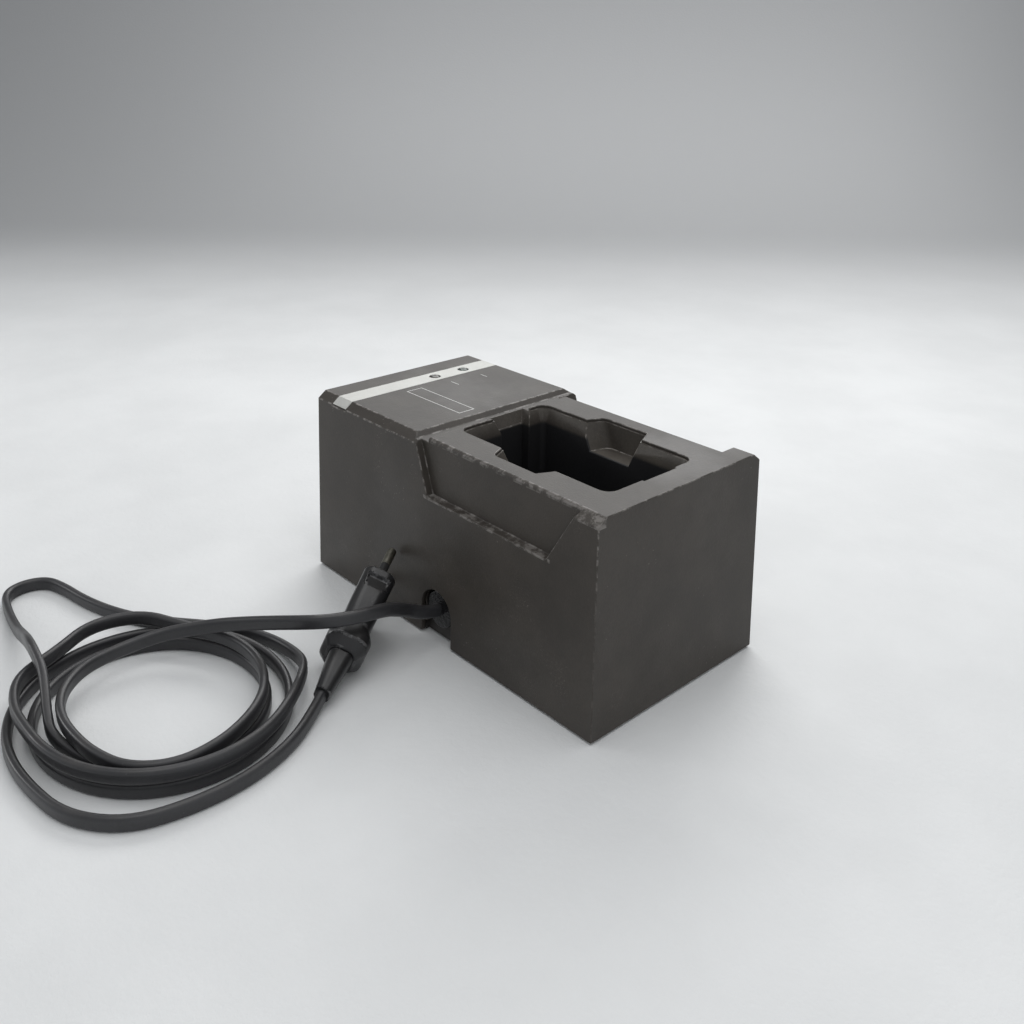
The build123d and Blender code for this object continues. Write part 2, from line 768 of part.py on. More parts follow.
half_tube_x = core_stack / 2 + bobbin_play + bobbin_wall
half_tube_y = core_yoke + bobbin_play + bobbin_wall
half_wound_y = core_yoke + window_width - bobbin_play
half_wound_x = core_stack / 2 + winding_reach
half_bobbin = window_height / 2 - bobbin_play
with BuildPart() as transformer_bobbin:
    with Locations((core_x, 0, core_middle_z)):
        Box(2 * half_tube_x, 2 * half_tube_y, 2 * half_bobbin)
        with GridLocations(1, 1, 1, 1):
            for z in (-half_bobbin + bobbin_wall / 2, 0, half_bobbin - bobbin_wall / 2):
                with Locations((0, 0, z)):
                    Box(2 * half_wound_x, 2 * half_wound_y, bobbin_wall)
        Box(
            2 * (half_tube_x - bobbin_wall),
            2 * (half_tube_y - bobbin_wall),
            window_height,
            mode=Mode.SUBTRACT,
        )
finish(transformer_bobbin, "transformer_bobbin")

chamber = half_bobbin - 1.5 * bobbin_wall
winding_gap = 0.1
for name, side in (("primary_winding", -1), ("secondary_winding", 1)):
    middle_z = core_middle_z + side * (bobbin_wall / 2 + chamber / 2)
    with BuildPart() as winding:
        with BuildSketch(Plane.XY.offset(middle_z - chamber / 2 + winding_gap)):
            with Locations((core_x, 0)):
                RectangleRounded(2 * half_wound_x - 2, 2 * half_wound_y - 2, 4)
                Rectangle(2 * half_tube_x + 0.1, 2 * half_tube_y + 0.1, mode=Mode.SUBTRACT)
        extrude(amount=chamber - 2 * winding_gap)
    finish(winding, name)

strap_half = core_width / 2 + 0.2
with BuildPart() as transformer_strap:
    with BuildSketch(Plane.YZ.offset(core_x - core_stack / 2 + 1)):
        with BuildLine():
            strap_path = Polyline(
                (-strap_half - strap_foot, core_base_z + strap_thickness / 2),
                (-strap_half - strap_thickness / 2, core_base_z + strap_thickness / 2),
                (-strap_half - strap_thickness / 2, core_top_z + 0.1 + strap_thickness / 2),
                (strap_half + strap_thickness / 2, core_top_z + 0.1 + strap_thickness / 2),
                (strap_half + strap_thickness / 2, core_base_z + strap_thickness / 2),
                (strap_half + strap_foot, core_base_z + strap_thickness / 2),
            )
        trace(strap_path, strap_thickness)
    extrude(amount=core_stack - 2)
    for side in (-1, 1):
        rod(
            core_x,
            side * strap_screw_y,
            (core_base_z - 1, core_base_z + 3),
            screw_diameter + 2 * screw_play,
            Mode.SUBTRACT,
        )
finish(transformer_strap, "transformer_strap")

with BuildPart() as transformer_screws:
    for side in (-1, 1):
        screw(core_x, side * strap_screw_y, core_base_z + strap_thickness, 4.8, False)
finish(transformer_screws, "transformer_screws")

# Main board and what stands on it
board_top_z = board_z + board_thickness
with BuildPart() as main_board:
    block((board_end_x, board_head_x), (-board_half_depth, board_half_depth), (board_z, board_top_z))
    for x, y in board_screw_places:
        rod(x, y, (board_z - 1, board_top_z + 1), screw_diameter + 2 * screw_play, Mode.SUBTRACT)
finish(main_board, "main_board")

with BuildPart() as board_screws:
    for x, y in board_screw_places:
        screw(x, y, board_top_z, 6.0, False)
finish(board_screws, "board_screws")

with BuildPart() as filter_capacitors:
    for y in (capacitor_y - capacitor_pitch / 2, capacitor_y + capacitor_pitch / 2):
        rod(board_end_x + capacitor_inset, y, (board_top_z, board_top_z + capacitor_height), capacitor_diameter)
    fillet(filter_capacitors.faces().group_by(Axis.Z)[-1].edges(), 0.8)
finish(filter_capacitors, "filter_capacitors")

with BuildPart() as bridge_rectifier:
    rectifier_y = board_edge_gap + rectifier_width / 2 - board_half_depth
    block(
        (rectifier_x - rectifier_length / 2, rectifier_x + rectifier_length / 2),
        (rectifier_y - rectifier_width / 2, rectifier_y + rectifier_width / 2),
        (board_top_z + 2, board_top_z + 2 + rectifier_height),
    )
    for step in (-1.5, -0.5, 0.5, 1.5):
        rod(rectifier_x + rectifier_pitch * step, rectifier_y, (board_top_z, board_top_z + 2.5), 1.0)
finish(bridge_rectifier, "bridge_rectifier")

with BuildPart() as controller_chip:
    block((-52, -32), (-20.2, -13.8), (board_top_z + 0.4, board_top_z + 3.8))
    with Locations((-42, -17, board_top_z)):
        with GridLocations(2.54, 7.6, 8, 2):
            Box(0.5, 1.4, 1.4, align=seated)
finish(controller_chip, "controller_chip")

with BuildPart() as resistors:
    for step in range(resistor_count):
        resistor_y = 1.5 - board_half_depth + resistor_pitch * step
        with Locations(Location((resistor_x, resistor_y, board_top_z + resistor_diameter / 2), (0, 90, 0))):
            Cylinder(resistor_diameter / 2, resistor_length)
finish(resistors, "resistors")

heatsink_end_x = heatsink_start_x + heatsink_length
plate_back_y = heatsink_y + heatsink_plate
with BuildPart() as heatsink:
    block((heatsink_start_x, heatsink_end_x), (heatsink_y, plate_back_y), (board_top_z, board_top_z + heatsink_height))
    for step in range(fin_count):
        x = heatsink_start_x + 7 + step * (heatsink_length - 15.5) / (fin_count - 1)
        block((x, x + 1.5), (plate_back_y, plate_back_y + fin_reach), (board_top_z, board_top_z + heatsink_height))
    regulator_x = (heatsink_start_x + heatsink_end_x) / 2
    regulator_hole_z = board_top_z + 17
    with Locations(Location((regulator_x, heatsink_y - 1, regulator_hole_z), (-90, 0, 0))):
        Cylinder(screw_diameter / 2 + 0.05, heatsink_plate, align=seated, mode=Mode.SUBTRACT)
finish(heatsink, "heatsink")

with BuildPart() as regulator:
    block((regulator_x - 5, regulator_x + 5), (heatsink_y - 4.5, heatsink_y - 1.3), (board_top_z + 4, board_top_z + 13))
    block((regulator_x - 5, regulator_x + 5), (heatsink_y - 1.3, heatsink_y), (board_top_z + 4, board_top_z + 20))
    for step in (-1, 0, 1):
        x = regulator_x + 2.54 * step
        block((x - 0.4, x + 0.4), (heatsink_y - 3, heatsink_y - 2.5), (board_top_z, board_top_z + 4))
    with Locations(Location((regulator_x, heatsink_y - 2, regulator_hole_z), (-90, 0, 0))):
        Cylinder(screw_diameter / 2 + 0.2, 3, align=seated, mode=Mode.SUBTRACT)
finish(regulator, "regulator")

with BuildPart() as regulator_screw:
    with Locations(Location((regulator_x, heatsink_y - 1.3, regulator_hole_z), (-90, 0, 0))):
        Cylinder(screw_diameter / 2, 3.2, align=seated)
        Cylinder(2.6, 1.8, align=hung)
finish(regulator_screw, "regulator_screw")

# Fuse in its holder
with BuildPart() as fuse:
    with Locations(Location((fuse_start_x, fuse_y, fuse_z), (0, 90, 0))):
        Cylinder(fuse_diameter / 2, fuse_length, align=seated)
        with Locations((0, 0, 5.5)):
            Cylinder(fuse_diameter / 2 + 1, fuse_length - 11, align=seated, mode=Mode.SUBTRACT)
            Cylinder(fuse_diameter / 2 - 0.2, fuse_length - 11, align=seated)
finish(fuse, "fuse")

clip_offsets = (1.0, fuse_length - 5.0)
with BuildPart() as fuse_clips:
    for start in clip_offsets:
        x = fuse_start_x + start
        half = fuse_diameter / 2 + 0.6
        block((x, x + 4), (fuse_y - half, fuse_y + half), (base_top_z + 1.5, fuse_z + 1.5))
        with Locations(Location((x - 1, fuse_y, fuse_z), (0, 90, 0))):
            Cylinder(fuse_diameter / 2 + 0.03, 6, align=seated, mode=Mode.SUBTRACT)
        block((x - 1, x + 5), (fuse_y - fuse_diameter / 2 + 0.4, fuse_y + fuse_diameter / 2 - 0.4), (fuse_z, fuse_z + 2), Mode.SUBTRACT)
finish(fuse_clips, "fuse_clips")

# Grommet in the arch, cord tail inside, clamp over it
with BuildPart() as cord_grommet:
    with Locations(Location((gland_x, gland_face_y, gland_z), (90, 0, 0))):
        Cylinder(gland_lip_diameter / 2, gland_lip, align=seated)
        Cylinder(gland_neck_diameter / 2, gland_face_y - tongue_back_y + gland_flange, align=seated)
    with Locations(Location((gland_x, tongue_back_y - gland_play, gland_z), (90, 0, 0))):
        Cylinder(gland_flange_diameter / 2, gland_flange, align=seated)
    fillet(cord_grommet.faces().sort_by(Axis.Y)[-1].edges(), gland_lip * 0.6)
    with BuildSketch(Plane.XZ.offset(-gland_face_y)):
        with Locations((gland_x, gland_z)):
            RectangleRounded(cord_thickness + 2 * cord_play, cord_width + 2 * cord_play, cord_round)
    extrude(amount=12, mode=Mode.SUBTRACT)
finish(cord_grommet, "cord_grommet")

tail_end_y = clamp_y[0] - 3
with BuildPart() as cord_tail:
    with BuildSketch(Plane.XZ.offset(-gland_face_y)):
        with Locations((gland_x, gland_z)):
            RectangleRounded(cord_thickness, cord_width, cord_round)
    extrude(amount=gland_face_y - tail_end_y)
finish(cord_tail, "cord_tail")

clamp_top_z = gland_z + cord_width / 2 + 3
with BuildPart() as cord_clamp:
    block((gland_x - clamp_half, gland_x + clamp_half), clamp_y, (pedestal_z, clamp_top_z))
    slot_half = cord_thickness / 2 + cord_play
    block(
        (gland_x - slot_half, gland_x + slot_half),
        (clamp_y[0] - 1, clamp_y[1] + 1),
        (pedestal_z - 1, gland_z + cord_width / 2 + cord_play),
        Mode.SUBTRACT,
    )
    for side in (-1, 1):
        x = gland_x + side * 6.0
        rod(x, sum(clamp_y) / 2, (pedestal_z - 1, clamp_top_z + 1), screw_diameter + 2 * screw_play, Mode.SUBTRACT)
finish(cord_clamp, "cord_clamp")

with BuildPart() as clamp_screws:
    for side in (-1, 1):
        screw(gland_x + side * 6.0, sum(clamp_y) / 2, clamp_top_z, clamp_top_z - pedestal_z + 5, False)
finish(clamp_screws, "clamp_screws")

# Leads inside: mains to the fuse and the primary, secondary to the board
winding_face_x = core_x - half_wound_x + 1
clip_half_y = fuse_diameter / 2 + 0.6
clip_middles = [fuse_start_x + start + 2 for start in clip_offsets]
with BuildPart() as mains_leads:
    wire([
        (gland_x, tail_end_y, gland_z + 1.6),
        (gland_x, tail_end_y - 4, gland_z + 1.6),
        (clip_middles[0], fuse_y + clip_half_y + 4, fuse_z - 1),
        (clip_middles[0], fuse_y + clip_half_y, fuse_z - 1),
    ])
    wire([
        (gland_x, tail_end_y, gland_z - 1.6),
        (gland_x, tail_end_y - 4, gland_z - 1.6),
        (16.0, 19.0, 18.0),
        (winding_face_x - 5, 12.0, 24.0),
        (winding_face_x, 12.0, 24.0),
    ])
    wire([
        (clip_middles[1], fuse_y - clip_half_y, fuse_z - 1),
        (clip_middles[1], fuse_y - clip_half_y - 4, fuse_z - 1),
        (15.0, 1.0, 15.0),
        (winding_face_x - 5, 2.0, 22.0),
        (winding_face_x, 2.0, 22.0),
    ])
finish(mains_leads, "mains_leads")

with BuildPart() as secondary_leads:
    for y, z in ((-6.0, 40.0), (-10.0, 37.0)):
        wire([
            (winding_face_x, y, z),
            (winding_face_x - 5, y, z),
            (17.0, y - 5, z - 14),
            (0.0, y - 9, 17.0),
            (board_head_x - 8, y - 13, board_top_z + 5),
            (board_head_x - 8, y - 13, board_top_z),
        ])
finish(secondary_leads, "secondary_leads")

led_lead_z = led_board_top_z - led_lead_drop
with BuildPart() as led_leads:
    for side in (-1, 1):
        shift = 1.5 * side
        wire([
            (stripe_x, -17.0 + shift, led_board_top_z - board_thickness),
            (stripe_x, -17.0 + shift, led_lead_z),
            (60.0, -18.0 + shift, led_lead_z - 1.2),
            (42.0, -19.0 + shift, led_lead_z - 2.0),
            (27.0, -20.0 + shift, led_lead_z - 11.0),
            (21.0, -21.0 + shift, led_lead_z - 27.0),
            (18.0, -22.0 + shift, 29.0),
            (4.0, -24.0 + shift, 18.0),
            (-13.0, -26.0 + shift, 17.0),
            (-27.0, -26.0 + shift, board_top_z + 4),
            (-27.0, -26.0 + shift, board_top_z),
        ])
finish(led_leads, "led_leads")

# Contacts: block and cover under the pocket floor, three sprung pins
block_top_z = pocket_floor_z - cup_floor
block_foot_z = block_top_z - block_height
chamber_top_z = block_top_z - 2.0
contact_places = [contact_x + step * contact_pitch for step in (-1, 0, 1)]
block_half_x = contact_pitch + 6.0
block_half_y = 6.0
block_screw_x = block_half_x - 2.2
with BuildPart() as contact_block:
    block(
        (contact_x - block_half_x, contact_x + block_half_x),
        (contact_y - block_half_y, contact_y + block_half_y),
        (block_foot_z, block_top_z),
    )
    for x in contact_places:
        rod(x, contact_y, (block_foot_z - 1, block_top_z + 1), contact_diameter + 2 * contact_play, Mode.SUBTRACT)
        rod(x, contact_y, (block_foot_z - 1, chamber_top_z), spring_bore, Mode.SUBTRACT)
finish(contact_block, "contact_block")

cover_foot_z = block_foot_z - cover_thickness
with BuildPart() as contact_cover:
    block(
        (contact_x - block_half_x, contact_x + block_half_x),
        (contact_y - block_half_y, contact_y + block_half_y),
        (cover_foot_z, block_foot_z),
    )
    for x in contact_places:
        rod(x, contact_y, (cover_foot_z - 1, block_foot_z + 1), tail_diameter + 0.5, Mode.SUBTRACT)
finish(contact_cover, "contact_cover")

shoulder_top_z = chamber_top_z - 0.05
shoulder_foot_z = shoulder_top_z - 1.2
spring_radius = (shoulder_diameter - spring_wire) / 2


def spring_point(angle):
    climb = (shoulder_foot_z - block_foot_z - 2 * spring_wire) / (360 * spring_turns)
    around = radians(angle)
    height = block_foot_z + spring_wire + climb * angle
    return Vector(spring_radius * cos(around), spring_radius * sin(around), height)


for name, x in zip(("plus", "sense", "minus"), contact_places):
    with BuildPart() as contact_pin:
        rod(x, contact_y, (shoulder_foot_z, pocket_floor_z + contact_rise), contact_diameter)
        fillet(contact_pin.faces().sort_by(Axis.Z)[-1].edges(), 0.9)
        rod(x, contact_y, (shoulder_foot_z, shoulder_top_z), shoulder_diameter)
        rod(x, contact_y, (cover_foot_z - 1.2, shoulder_foot_z), tail_diameter)
    finish(contact_pin, f"contact_pin_{name}")
    with BuildPart() as contact_spring:
        coil_line = wound_line(spring_point, 0, 360 * spring_turns, 90)
        with BuildSketch(Plane(origin=coil_line @ 0, z_dir=coil_line % 0)):
            Circle(spring_wire / 2)
        sweep(path=coil_line)
    contact_spring.part.position = (x, contact_y, 0)
    finish(contact_spring, f"contact_spring_{name}")

with BuildPart() as contact_tags:
    for x in contact_places:
        block((x - 2.5, x + 2.5), (contact_y - 4, contact_y + 5.5), (cover_foot_z - 0.4, cover_foot_z))
        rod(x, contact_y, (cover_foot_z - 1, cover_foot_z + 1), tail_diameter + 0.6, Mode.SUBTRACT)
finish(contact_tags, "contact_tags")

with BuildPart() as contact_leads:
    for x in contact_places:
        wire([
            (x, contact_y + 4.2, cover_foot_z - 0.4),
            (x, contact_y + 4.2, cover_foot_z - 3.4),
            (x + 2.0, contact_y + 8.0, board_top_z + 3.4),
            (x + 2.0, contact_y + 8.0, board_top_z),
        ], 1.2)
finish(contact_leads, "contact_leads")

# Detect plunger on the button of a switch
switch_top_z = board_top_z + switch_height
button_top_z = switch_top_z + 1.8
with BuildPart() as detect_switch:
    block((plunger_x - 10, plunger_x + 10), (contact_y - 3.2, contact_y + 3.2), (board_top_z, switch_top_z))
    rod(plunger_x, contact_y, (switch_top_z - 4, switch_top_z + 1), 3.0, Mode.SUBTRACT)
finish(detect_switch, "detect_switch")

with BuildPart() as switch_button:
    rod(plunger_x, contact_y, (switch_top_z - 2, button_top_z), 2.8)
finish(switch_button, "switch_button")

guide_foot_z = pocket_floor_z - 8
with BuildPart() as detect_plunger:
    rod(plunger_x, contact_y, (button_top_z, pocket_floor_z + 3), plunger_diameter)
    fillet(detect_plunger.faces().sort_by(Axis.Z)[-1].edges(), 1.2)
    rod(plunger_x, contact_y, (guide_foot_z - 1.8, guide_foot_z - 0.1), plunger_diameter + 2)
finish(detect_plunger, "detect_plunger")

# Plug: boot, gripped body, two sleeved pins
plug_place = Plane(origin=plug_tail, x_dir=plug_across, z_dir=plug_axis)
body_start = boot_length
waist = boot_length + wing_length
body_face = waist + plug_body_length


def plug_section(along, width, thickness, corner):
    with BuildSketch(plug_place.offset(along)) as section:
        RectangleRounded(width, thickness, corner)
    return section.sketch


with BuildPart() as plug_boot:
    loft([plug_section(0, 8.4, 6.2, 2.8), plug_section(boot_length * 0.75, 11.5, 9.0, 3.4)], ruled=True)
    loft([
        plug_section(boot_length * 0.75, 11.5, 9.0, 3.4),
        plug_section(boot_length, 12.5, 10.0, 3.6),
    ], ruled=True)
finish(plug_boot, "plug_boot")

with BuildPart() as plug_body:
    stations = [
        (body_start, 14.0, 12.0, 4.0),
        (body_start + wing_length * 0.35, wing_width * 0.84, wing_thickness, 6.0),
        (body_start + wing_length * 0.7, wing_width * 0.84, wing_thickness, 6.0),
        (waist, 21.0, 12.5, 4.5),
        (waist + 8.0, 26.5, plug_thickness - 0.5, 4.5),
        (body_face, plug_width, plug_thickness, 4.5),
    ]
    for near, far in zip(stations, stations[1:]):
        loft([plug_section(*near), plug_section(*far)], ruled=True)
    for side in (-1, 1):
        with BuildSketch(plug_place.offset(body_face - 8)):
            with Locations((side * pin_spacing / 2, 0)):
                Circle(pin_diameter / 2 - sleeve_wall + 0.02)
        extrude(amount=9, mode=Mode.SUBTRACT)
    # Sunk grip panels in the two narrow edges
    for side in (-1, 1):
        with BuildSketch(plug_place.offset(waist + 5)):
            with Locations((side * (plug_width / 2 + 1.5), 0)):
                Rectangle(8.0, plug_thickness - 5.0)
        extrude(amount=plug_body_length - 8.5, mode=Mode.SUBTRACT)
finish(plug_body, "plug_body")

with BuildPart() as plug_pins:
    with BuildSketch(plug_place.offset(body_face - 7.5)):
        with GridLocations(pin_spacing, 0, 2, 1):
            Circle(pin_diameter / 2 - sleeve_wall)
    extrude(amount=7.5 + sleeve_length)
    with BuildSketch(plug_place.offset(body_face + sleeve_length)):
        with GridLocations(pin_spacing, 0, 2, 1):
            Circle(pin_diameter / 2)
    extrude(amount=pin_length - sleeve_length)
finish(plug_pins, "plug_pins")

with BuildPart() as plug_sleeves:
    for side in (-1, 1):
        with BuildSketch(plug_place.offset(body_face)):
            with Locations((side * pin_spacing / 2, 0)):
                Circle(pin_diameter / 2 - 0.05)
                Circle(pin_diameter / 2 - sleeve_wall + 0.02, mode=Mode.SUBTRACT)
        extrude(amount=sleeve_length - 0.02)
finish(plug_sleeves, "plug_sleeves")


# Cord: a flat tube whose wide side stays upright along its route
def coil_point(angle, radius, height):
    radius += coil_oval * cos(2 * radians(angle - coil_oval_angle))
    around = radians(angle)
    return Vector(coil_x + radius * cos(around), coil_y + radius * sin(around), height)


def upper_point(angle):
    radius = upper_radius + upper_growth * (angle - upper_start_angle) / 360
    radius += bulge_reach * exp(-(((angle - bulge_angle) / bulge_spread) ** 2))
    return coil_point(angle, radius, floor_layer_z + layer_pitch)


def lower_point(angle):
    radius = lower_radius + lower_growth * (angle - lower_start_angle) / 360
    return coil_point(angle, radius, floor_layer_z)


def flat_tube(line):
    way = line % 0
    across = Vector(0, 0, 1).cross(way)
    with BuildSketch(Plane(origin=line @ 0, x_dir=across, z_dir=way)) as section:
        RectangleRounded(cord_thickness, cord_width, cord_round)
    sweep(section.sketch, path=line)
    return section.sketch.area


def report_tube(name, piece, line, area, radii=()):
    volume = piece.part.volume
    print(f"{name}: length {line.length:.1f}, volume {volume:.0f}, section x length {area * line.length:.0f}")
    if radii:
        print("  radii", [round(r, 1) for r in radii])


cord_ends = {}
for name, place, first, last in (
    ("cord_coil_upper", upper_point, upper_start_angle, upper_end_angle),
    ("cord_coil_lower", lower_point, lower_start_angle, lower_end_angle),
):
    coil_line = wound_line(place, first, last, coil_step, cord_width)
    with BuildPart() as coil:
        area = flat_tube(coil_line)
    finish(coil, name)
    report_tube(name, coil, coil_line, area)
    cord_ends[name] = (coil_line @ 0, coil_line % 0, coil_line @ 1, coil_line % 1)

upper_in, upper_in_way, upper_out, upper_out_way = cord_ends["cord_coil_upper"]
lower_in, lower_in_way, lower_out, lower_out_way = cord_ends["cord_coil_lower"]
join_run = 7.0
stretches = {
    "cord_lead": lead_points + [upper_in - upper_in_way * join_run, upper_in],
    "cord_lobe": [upper_out, upper_out + upper_out_way * join_run]
    + lobe_points
    + [lower_in - lower_in_way * join_run, lower_in],
    "cord_plug_end": [
        lower_out,
        lower_out + lower_out_way * join_run,
        plug_tail - plug_axis * join_run,
        plug_tail,
    ],
}
for name, points in stretches.items():
    line = route_line(points)
    with BuildPart() as stretch:
        area = flat_tube(line)
    finish(stretch, name)
    report_tube(name, stretch, line, area, corner_radii(points))


# Least distance between turns of a coil, measured on points of its line
def self_gap(line, turn_length):
    count = int(line.length / 2)
    points = [line @ (i / count) for i in range(count + 1)]
    skip = int(turn_length / 4)
    least = min(
        (points[i] - points[k]).length for i in range(len(points)) for k in range(i + skip, len(points))
    )
    return least - cord_thickness


for place, first, last in (
    (upper_point, upper_start_angle, upper_end_angle),
    (lower_point, lower_start_angle, lower_end_angle),
):
    gap = self_gap(wound_line(place, first, last, coil_step), 2 * pi * lower_radius)
    print(f"least gap of a coil to itself {gap:.2f}")
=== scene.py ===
import json
import math

import bpy
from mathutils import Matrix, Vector


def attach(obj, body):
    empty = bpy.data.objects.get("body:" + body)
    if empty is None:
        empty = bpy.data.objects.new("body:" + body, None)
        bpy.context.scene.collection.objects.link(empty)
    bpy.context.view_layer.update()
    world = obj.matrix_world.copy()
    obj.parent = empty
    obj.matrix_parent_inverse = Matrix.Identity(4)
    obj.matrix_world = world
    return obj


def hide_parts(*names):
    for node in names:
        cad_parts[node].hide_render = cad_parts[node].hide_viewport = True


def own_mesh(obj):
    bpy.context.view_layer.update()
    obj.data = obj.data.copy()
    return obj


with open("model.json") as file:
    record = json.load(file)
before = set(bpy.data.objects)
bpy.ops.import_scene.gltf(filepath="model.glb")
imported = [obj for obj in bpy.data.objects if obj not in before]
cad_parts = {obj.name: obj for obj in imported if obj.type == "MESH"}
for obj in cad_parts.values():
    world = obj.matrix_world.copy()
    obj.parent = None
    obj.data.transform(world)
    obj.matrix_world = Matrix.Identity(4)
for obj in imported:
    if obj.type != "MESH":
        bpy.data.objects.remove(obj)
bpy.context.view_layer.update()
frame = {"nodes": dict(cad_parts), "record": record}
nodes = frame["nodes"]
mm = 0.001  # sizes below are in millimetres unless a note says otherwise, the scene is in metres
mergeDistance = 0.000001  # metres
print("frame loaded with", len(nodes), "nodes")


def clearSelection():
    bpy.ops.object.select_all(action="DESELECT")


def pickOnly(piece):
    clearSelection()
    bpy.context.view_layer.objects.active = piece
    piece.select_set(True)


# Camera at the photograph's viewing angle
cameraSetup = {
    "place": (-0.30329, 0.28474, 0.24344),  # metres, as is the clip
    "turn": (1.289946, -0.012328, -2.308622),  # radians
    "lens": 36.035,
    "sensor": 36.0,
    "shiftY": -0.1665,
    "clip": (0.01, 20.0),
}


def makeCamera():
    clearSelection()
    bpy.ops.object.camera_add(location=cameraSetup["place"], rotation=cameraSetup["turn"])
    camera = bpy.context.object
    camera.name = "photoCamera"
    camera.data.sensor_width = cameraSetup["sensor"]
    camera.data.lens = cameraSetup["lens"]
    camera.data.shift_y = cameraSetup["shiftY"]
    camera.data.clip_start, camera.data.clip_end = cameraSetup["clip"]
    bpy.context.scene.camera = camera
    print("camera placed")


# Short calls for the nodes of a material
nodeGap = 170


def feed(tree, value, socket):
    if isinstance(value, bpy.types.NodeSocket):
        tree.links.new(value, socket)
    elif isinstance(value, tuple) and socket.type == "RGBA":
        socket.default_value = (*value, 1.0)
    else:
        socket.default_value = value


def addNode(tree, kind, inputs=None, **settings):
    node = tree.nodes.new(kind)
    node.location = (nodeGap * len(tree.nodes), 0)
    for key, value in settings.items():
        setattr(node, key, value)
    for key, value in (inputs or {}).items():
        feed(tree, value, node.inputs[key])
    return node


def objectCoords(tree):
    return addNode(tree, "ShaderNodeTexCoord").outputs["Object"]


def splitAxes(tree, vector):
    return addNode(tree, "ShaderNodeSeparateXYZ", {0: vector}).outputs


def calc(tree, operation, first, second=0.0):
    return addNode(tree, "ShaderNodeMath", {0: first, 1: second}, operation=operation).outputs[0]


# How far a noise is from its middle value
def offMiddle(tree, value):
    return calc(tree, "ABSOLUTE", calc(tree, "SUBTRACT", value, 0.5))


def noise(tree, coords, scale, detail=2.0, rough=0.5, stretch=None):
    if stretch is not None:
        coords = addNode(tree, "ShaderNodeMapping", {"Vector": coords, "Scale": stretch}).outputs[0]
    values = {"Vector": coords, "Scale": scale, "Detail": detail, "Roughness": rough}
    return addNode(tree, "ShaderNodeTexNoise", values).outputs["Fac"]


def cells(tree, coords, scale):
    return addNode(tree, "ShaderNodeTexVoronoi", {"Vector": coords, "Scale": scale}).outputs["Distance"]


def ramp(tree, value, low, high, lowOut=0.0, highOut=1.0):
    values = {"Value": value, "From Min": low, "From Max": high, "To Min": lowOut, "To Max": highOut}
    return addNode(tree, "ShaderNodeMapRange", values, interpolation_type="SMOOTHSTEP").outputs[0]


# A Mix node's colours are its inputs 6 and 7 and its output 2
def mixColor(tree, factor, first, second):
    node = addNode(tree, "ShaderNodeMix", data_type="RGBA")
    feed(tree, factor, node.inputs[0])
    feed(tree, first, node.inputs[6])
    feed(tree, second, node.inputs[7])
    return node.outputs[2]


def bump(tree, height, distance, strength=1.0):
    values = {"Height": height, "Distance": distance, "Strength": strength}
    return addNode(tree, "ShaderNodeBump", values).outputs[0]


def effect(tree, group, inputs):
    return addNode(tree, "ShaderNodeGroup", inputs, node_tree=group).outputs


def newGroup(name, inputs, outputs):
    group = bpy.data.node_groups.new(name, "ShaderNodeTree")
    for label, kind in inputs.items():
        group.interface.new_socket(label, in_out="INPUT", socket_type="NodeSocket" + kind)
    for label, kind in outputs.items():
        group.interface.new_socket(label, in_out="OUTPUT", socket_type="NodeSocket" + kind)
    start = addNode(group, "NodeGroupInput").outputs
    end = addNode(group, "NodeGroupOutput").inputs
    return group, start, end


# Moulded plastic: soft mottling, spark-eroded grain and rubbed patches, all by scale per metre
mouldedSetup = {
    "cloud": {"scale": 38.0, "detail": 3.0, "rough": 0.55},
    "fine": {"scale": 900.0, "detail": 1.0},
    "share": (0.75, 0.25),  # of the cloud and the fine noise
    "mottling": (0.32, 0.68),
    "rubbed": {"scale": 14.0, "detail": 4.0, "rough": 0.6},
    "rubbedRange": (0.42, 0.66),
    "grain": {"scale": 1700.0, "detail": 2.0, "rough": 0.6},
    "pits": 1300.0,
}


def makeMouldedGroup():
    group, start, end = newGroup(
        "mouldedSurface",
        {"Coords": "Vector", "Dark": "Color", "Light": "Color"},
        {"Color": "Color", "Rubbed": "Float", "Grain": "Float"},
    )
    coords = start["Coords"]
    cloudShare, fineShare = mouldedSetup["share"]
    cloud = calc(group, "MULTIPLY", noise(group, coords, **mouldedSetup["cloud"]), cloudShare)
    fine = calc(group, "MULTIPLY", noise(group, coords, **mouldedSetup["fine"]), fineShare)
    mottling = ramp(group, calc(group, "ADD", cloud, fine), *mouldedSetup["mottling"])
    feed(group, mixColor(group, mottling, start["Dark"], start["Light"]), end["Color"])
    rubbed = noise(group, coords, **mouldedSetup["rubbed"])
    feed(group, ramp(group, rubbed, *mouldedSetup["rubbedRange"]), end["Rubbed"])
    pits = cells(group, coords, mouldedSetup["pits"])
    feed(group, calc(group, "ADD", noise(group, coords, **mouldedSetup["grain"]), pits), end["Grain"])
    return group


# Pale specks, hairline scratches and edges rubbed bare
wearSetup = {
    "specks": 420.0,
    "speckSize": (0.16, 0.07),
    "patches": {"scale": 55.0},
    "patchRange": (0.58, 0.66),
    "lines": {"scale": 30.0, "detail": 1.0, "rough": 0.4, "stretch": (14.0, 90.0, 20.0)},
    "lineWidth": (0.006, 0.002),
    "places": {"scale": 70.0, "detail": 1.0},
    "placeRange": (0.62, 0.68),
    "broken": {"scale": 210.0, "detail": 4.0, "rough": 0.7},
    "brokenRange": (0.44, 0.60),
}


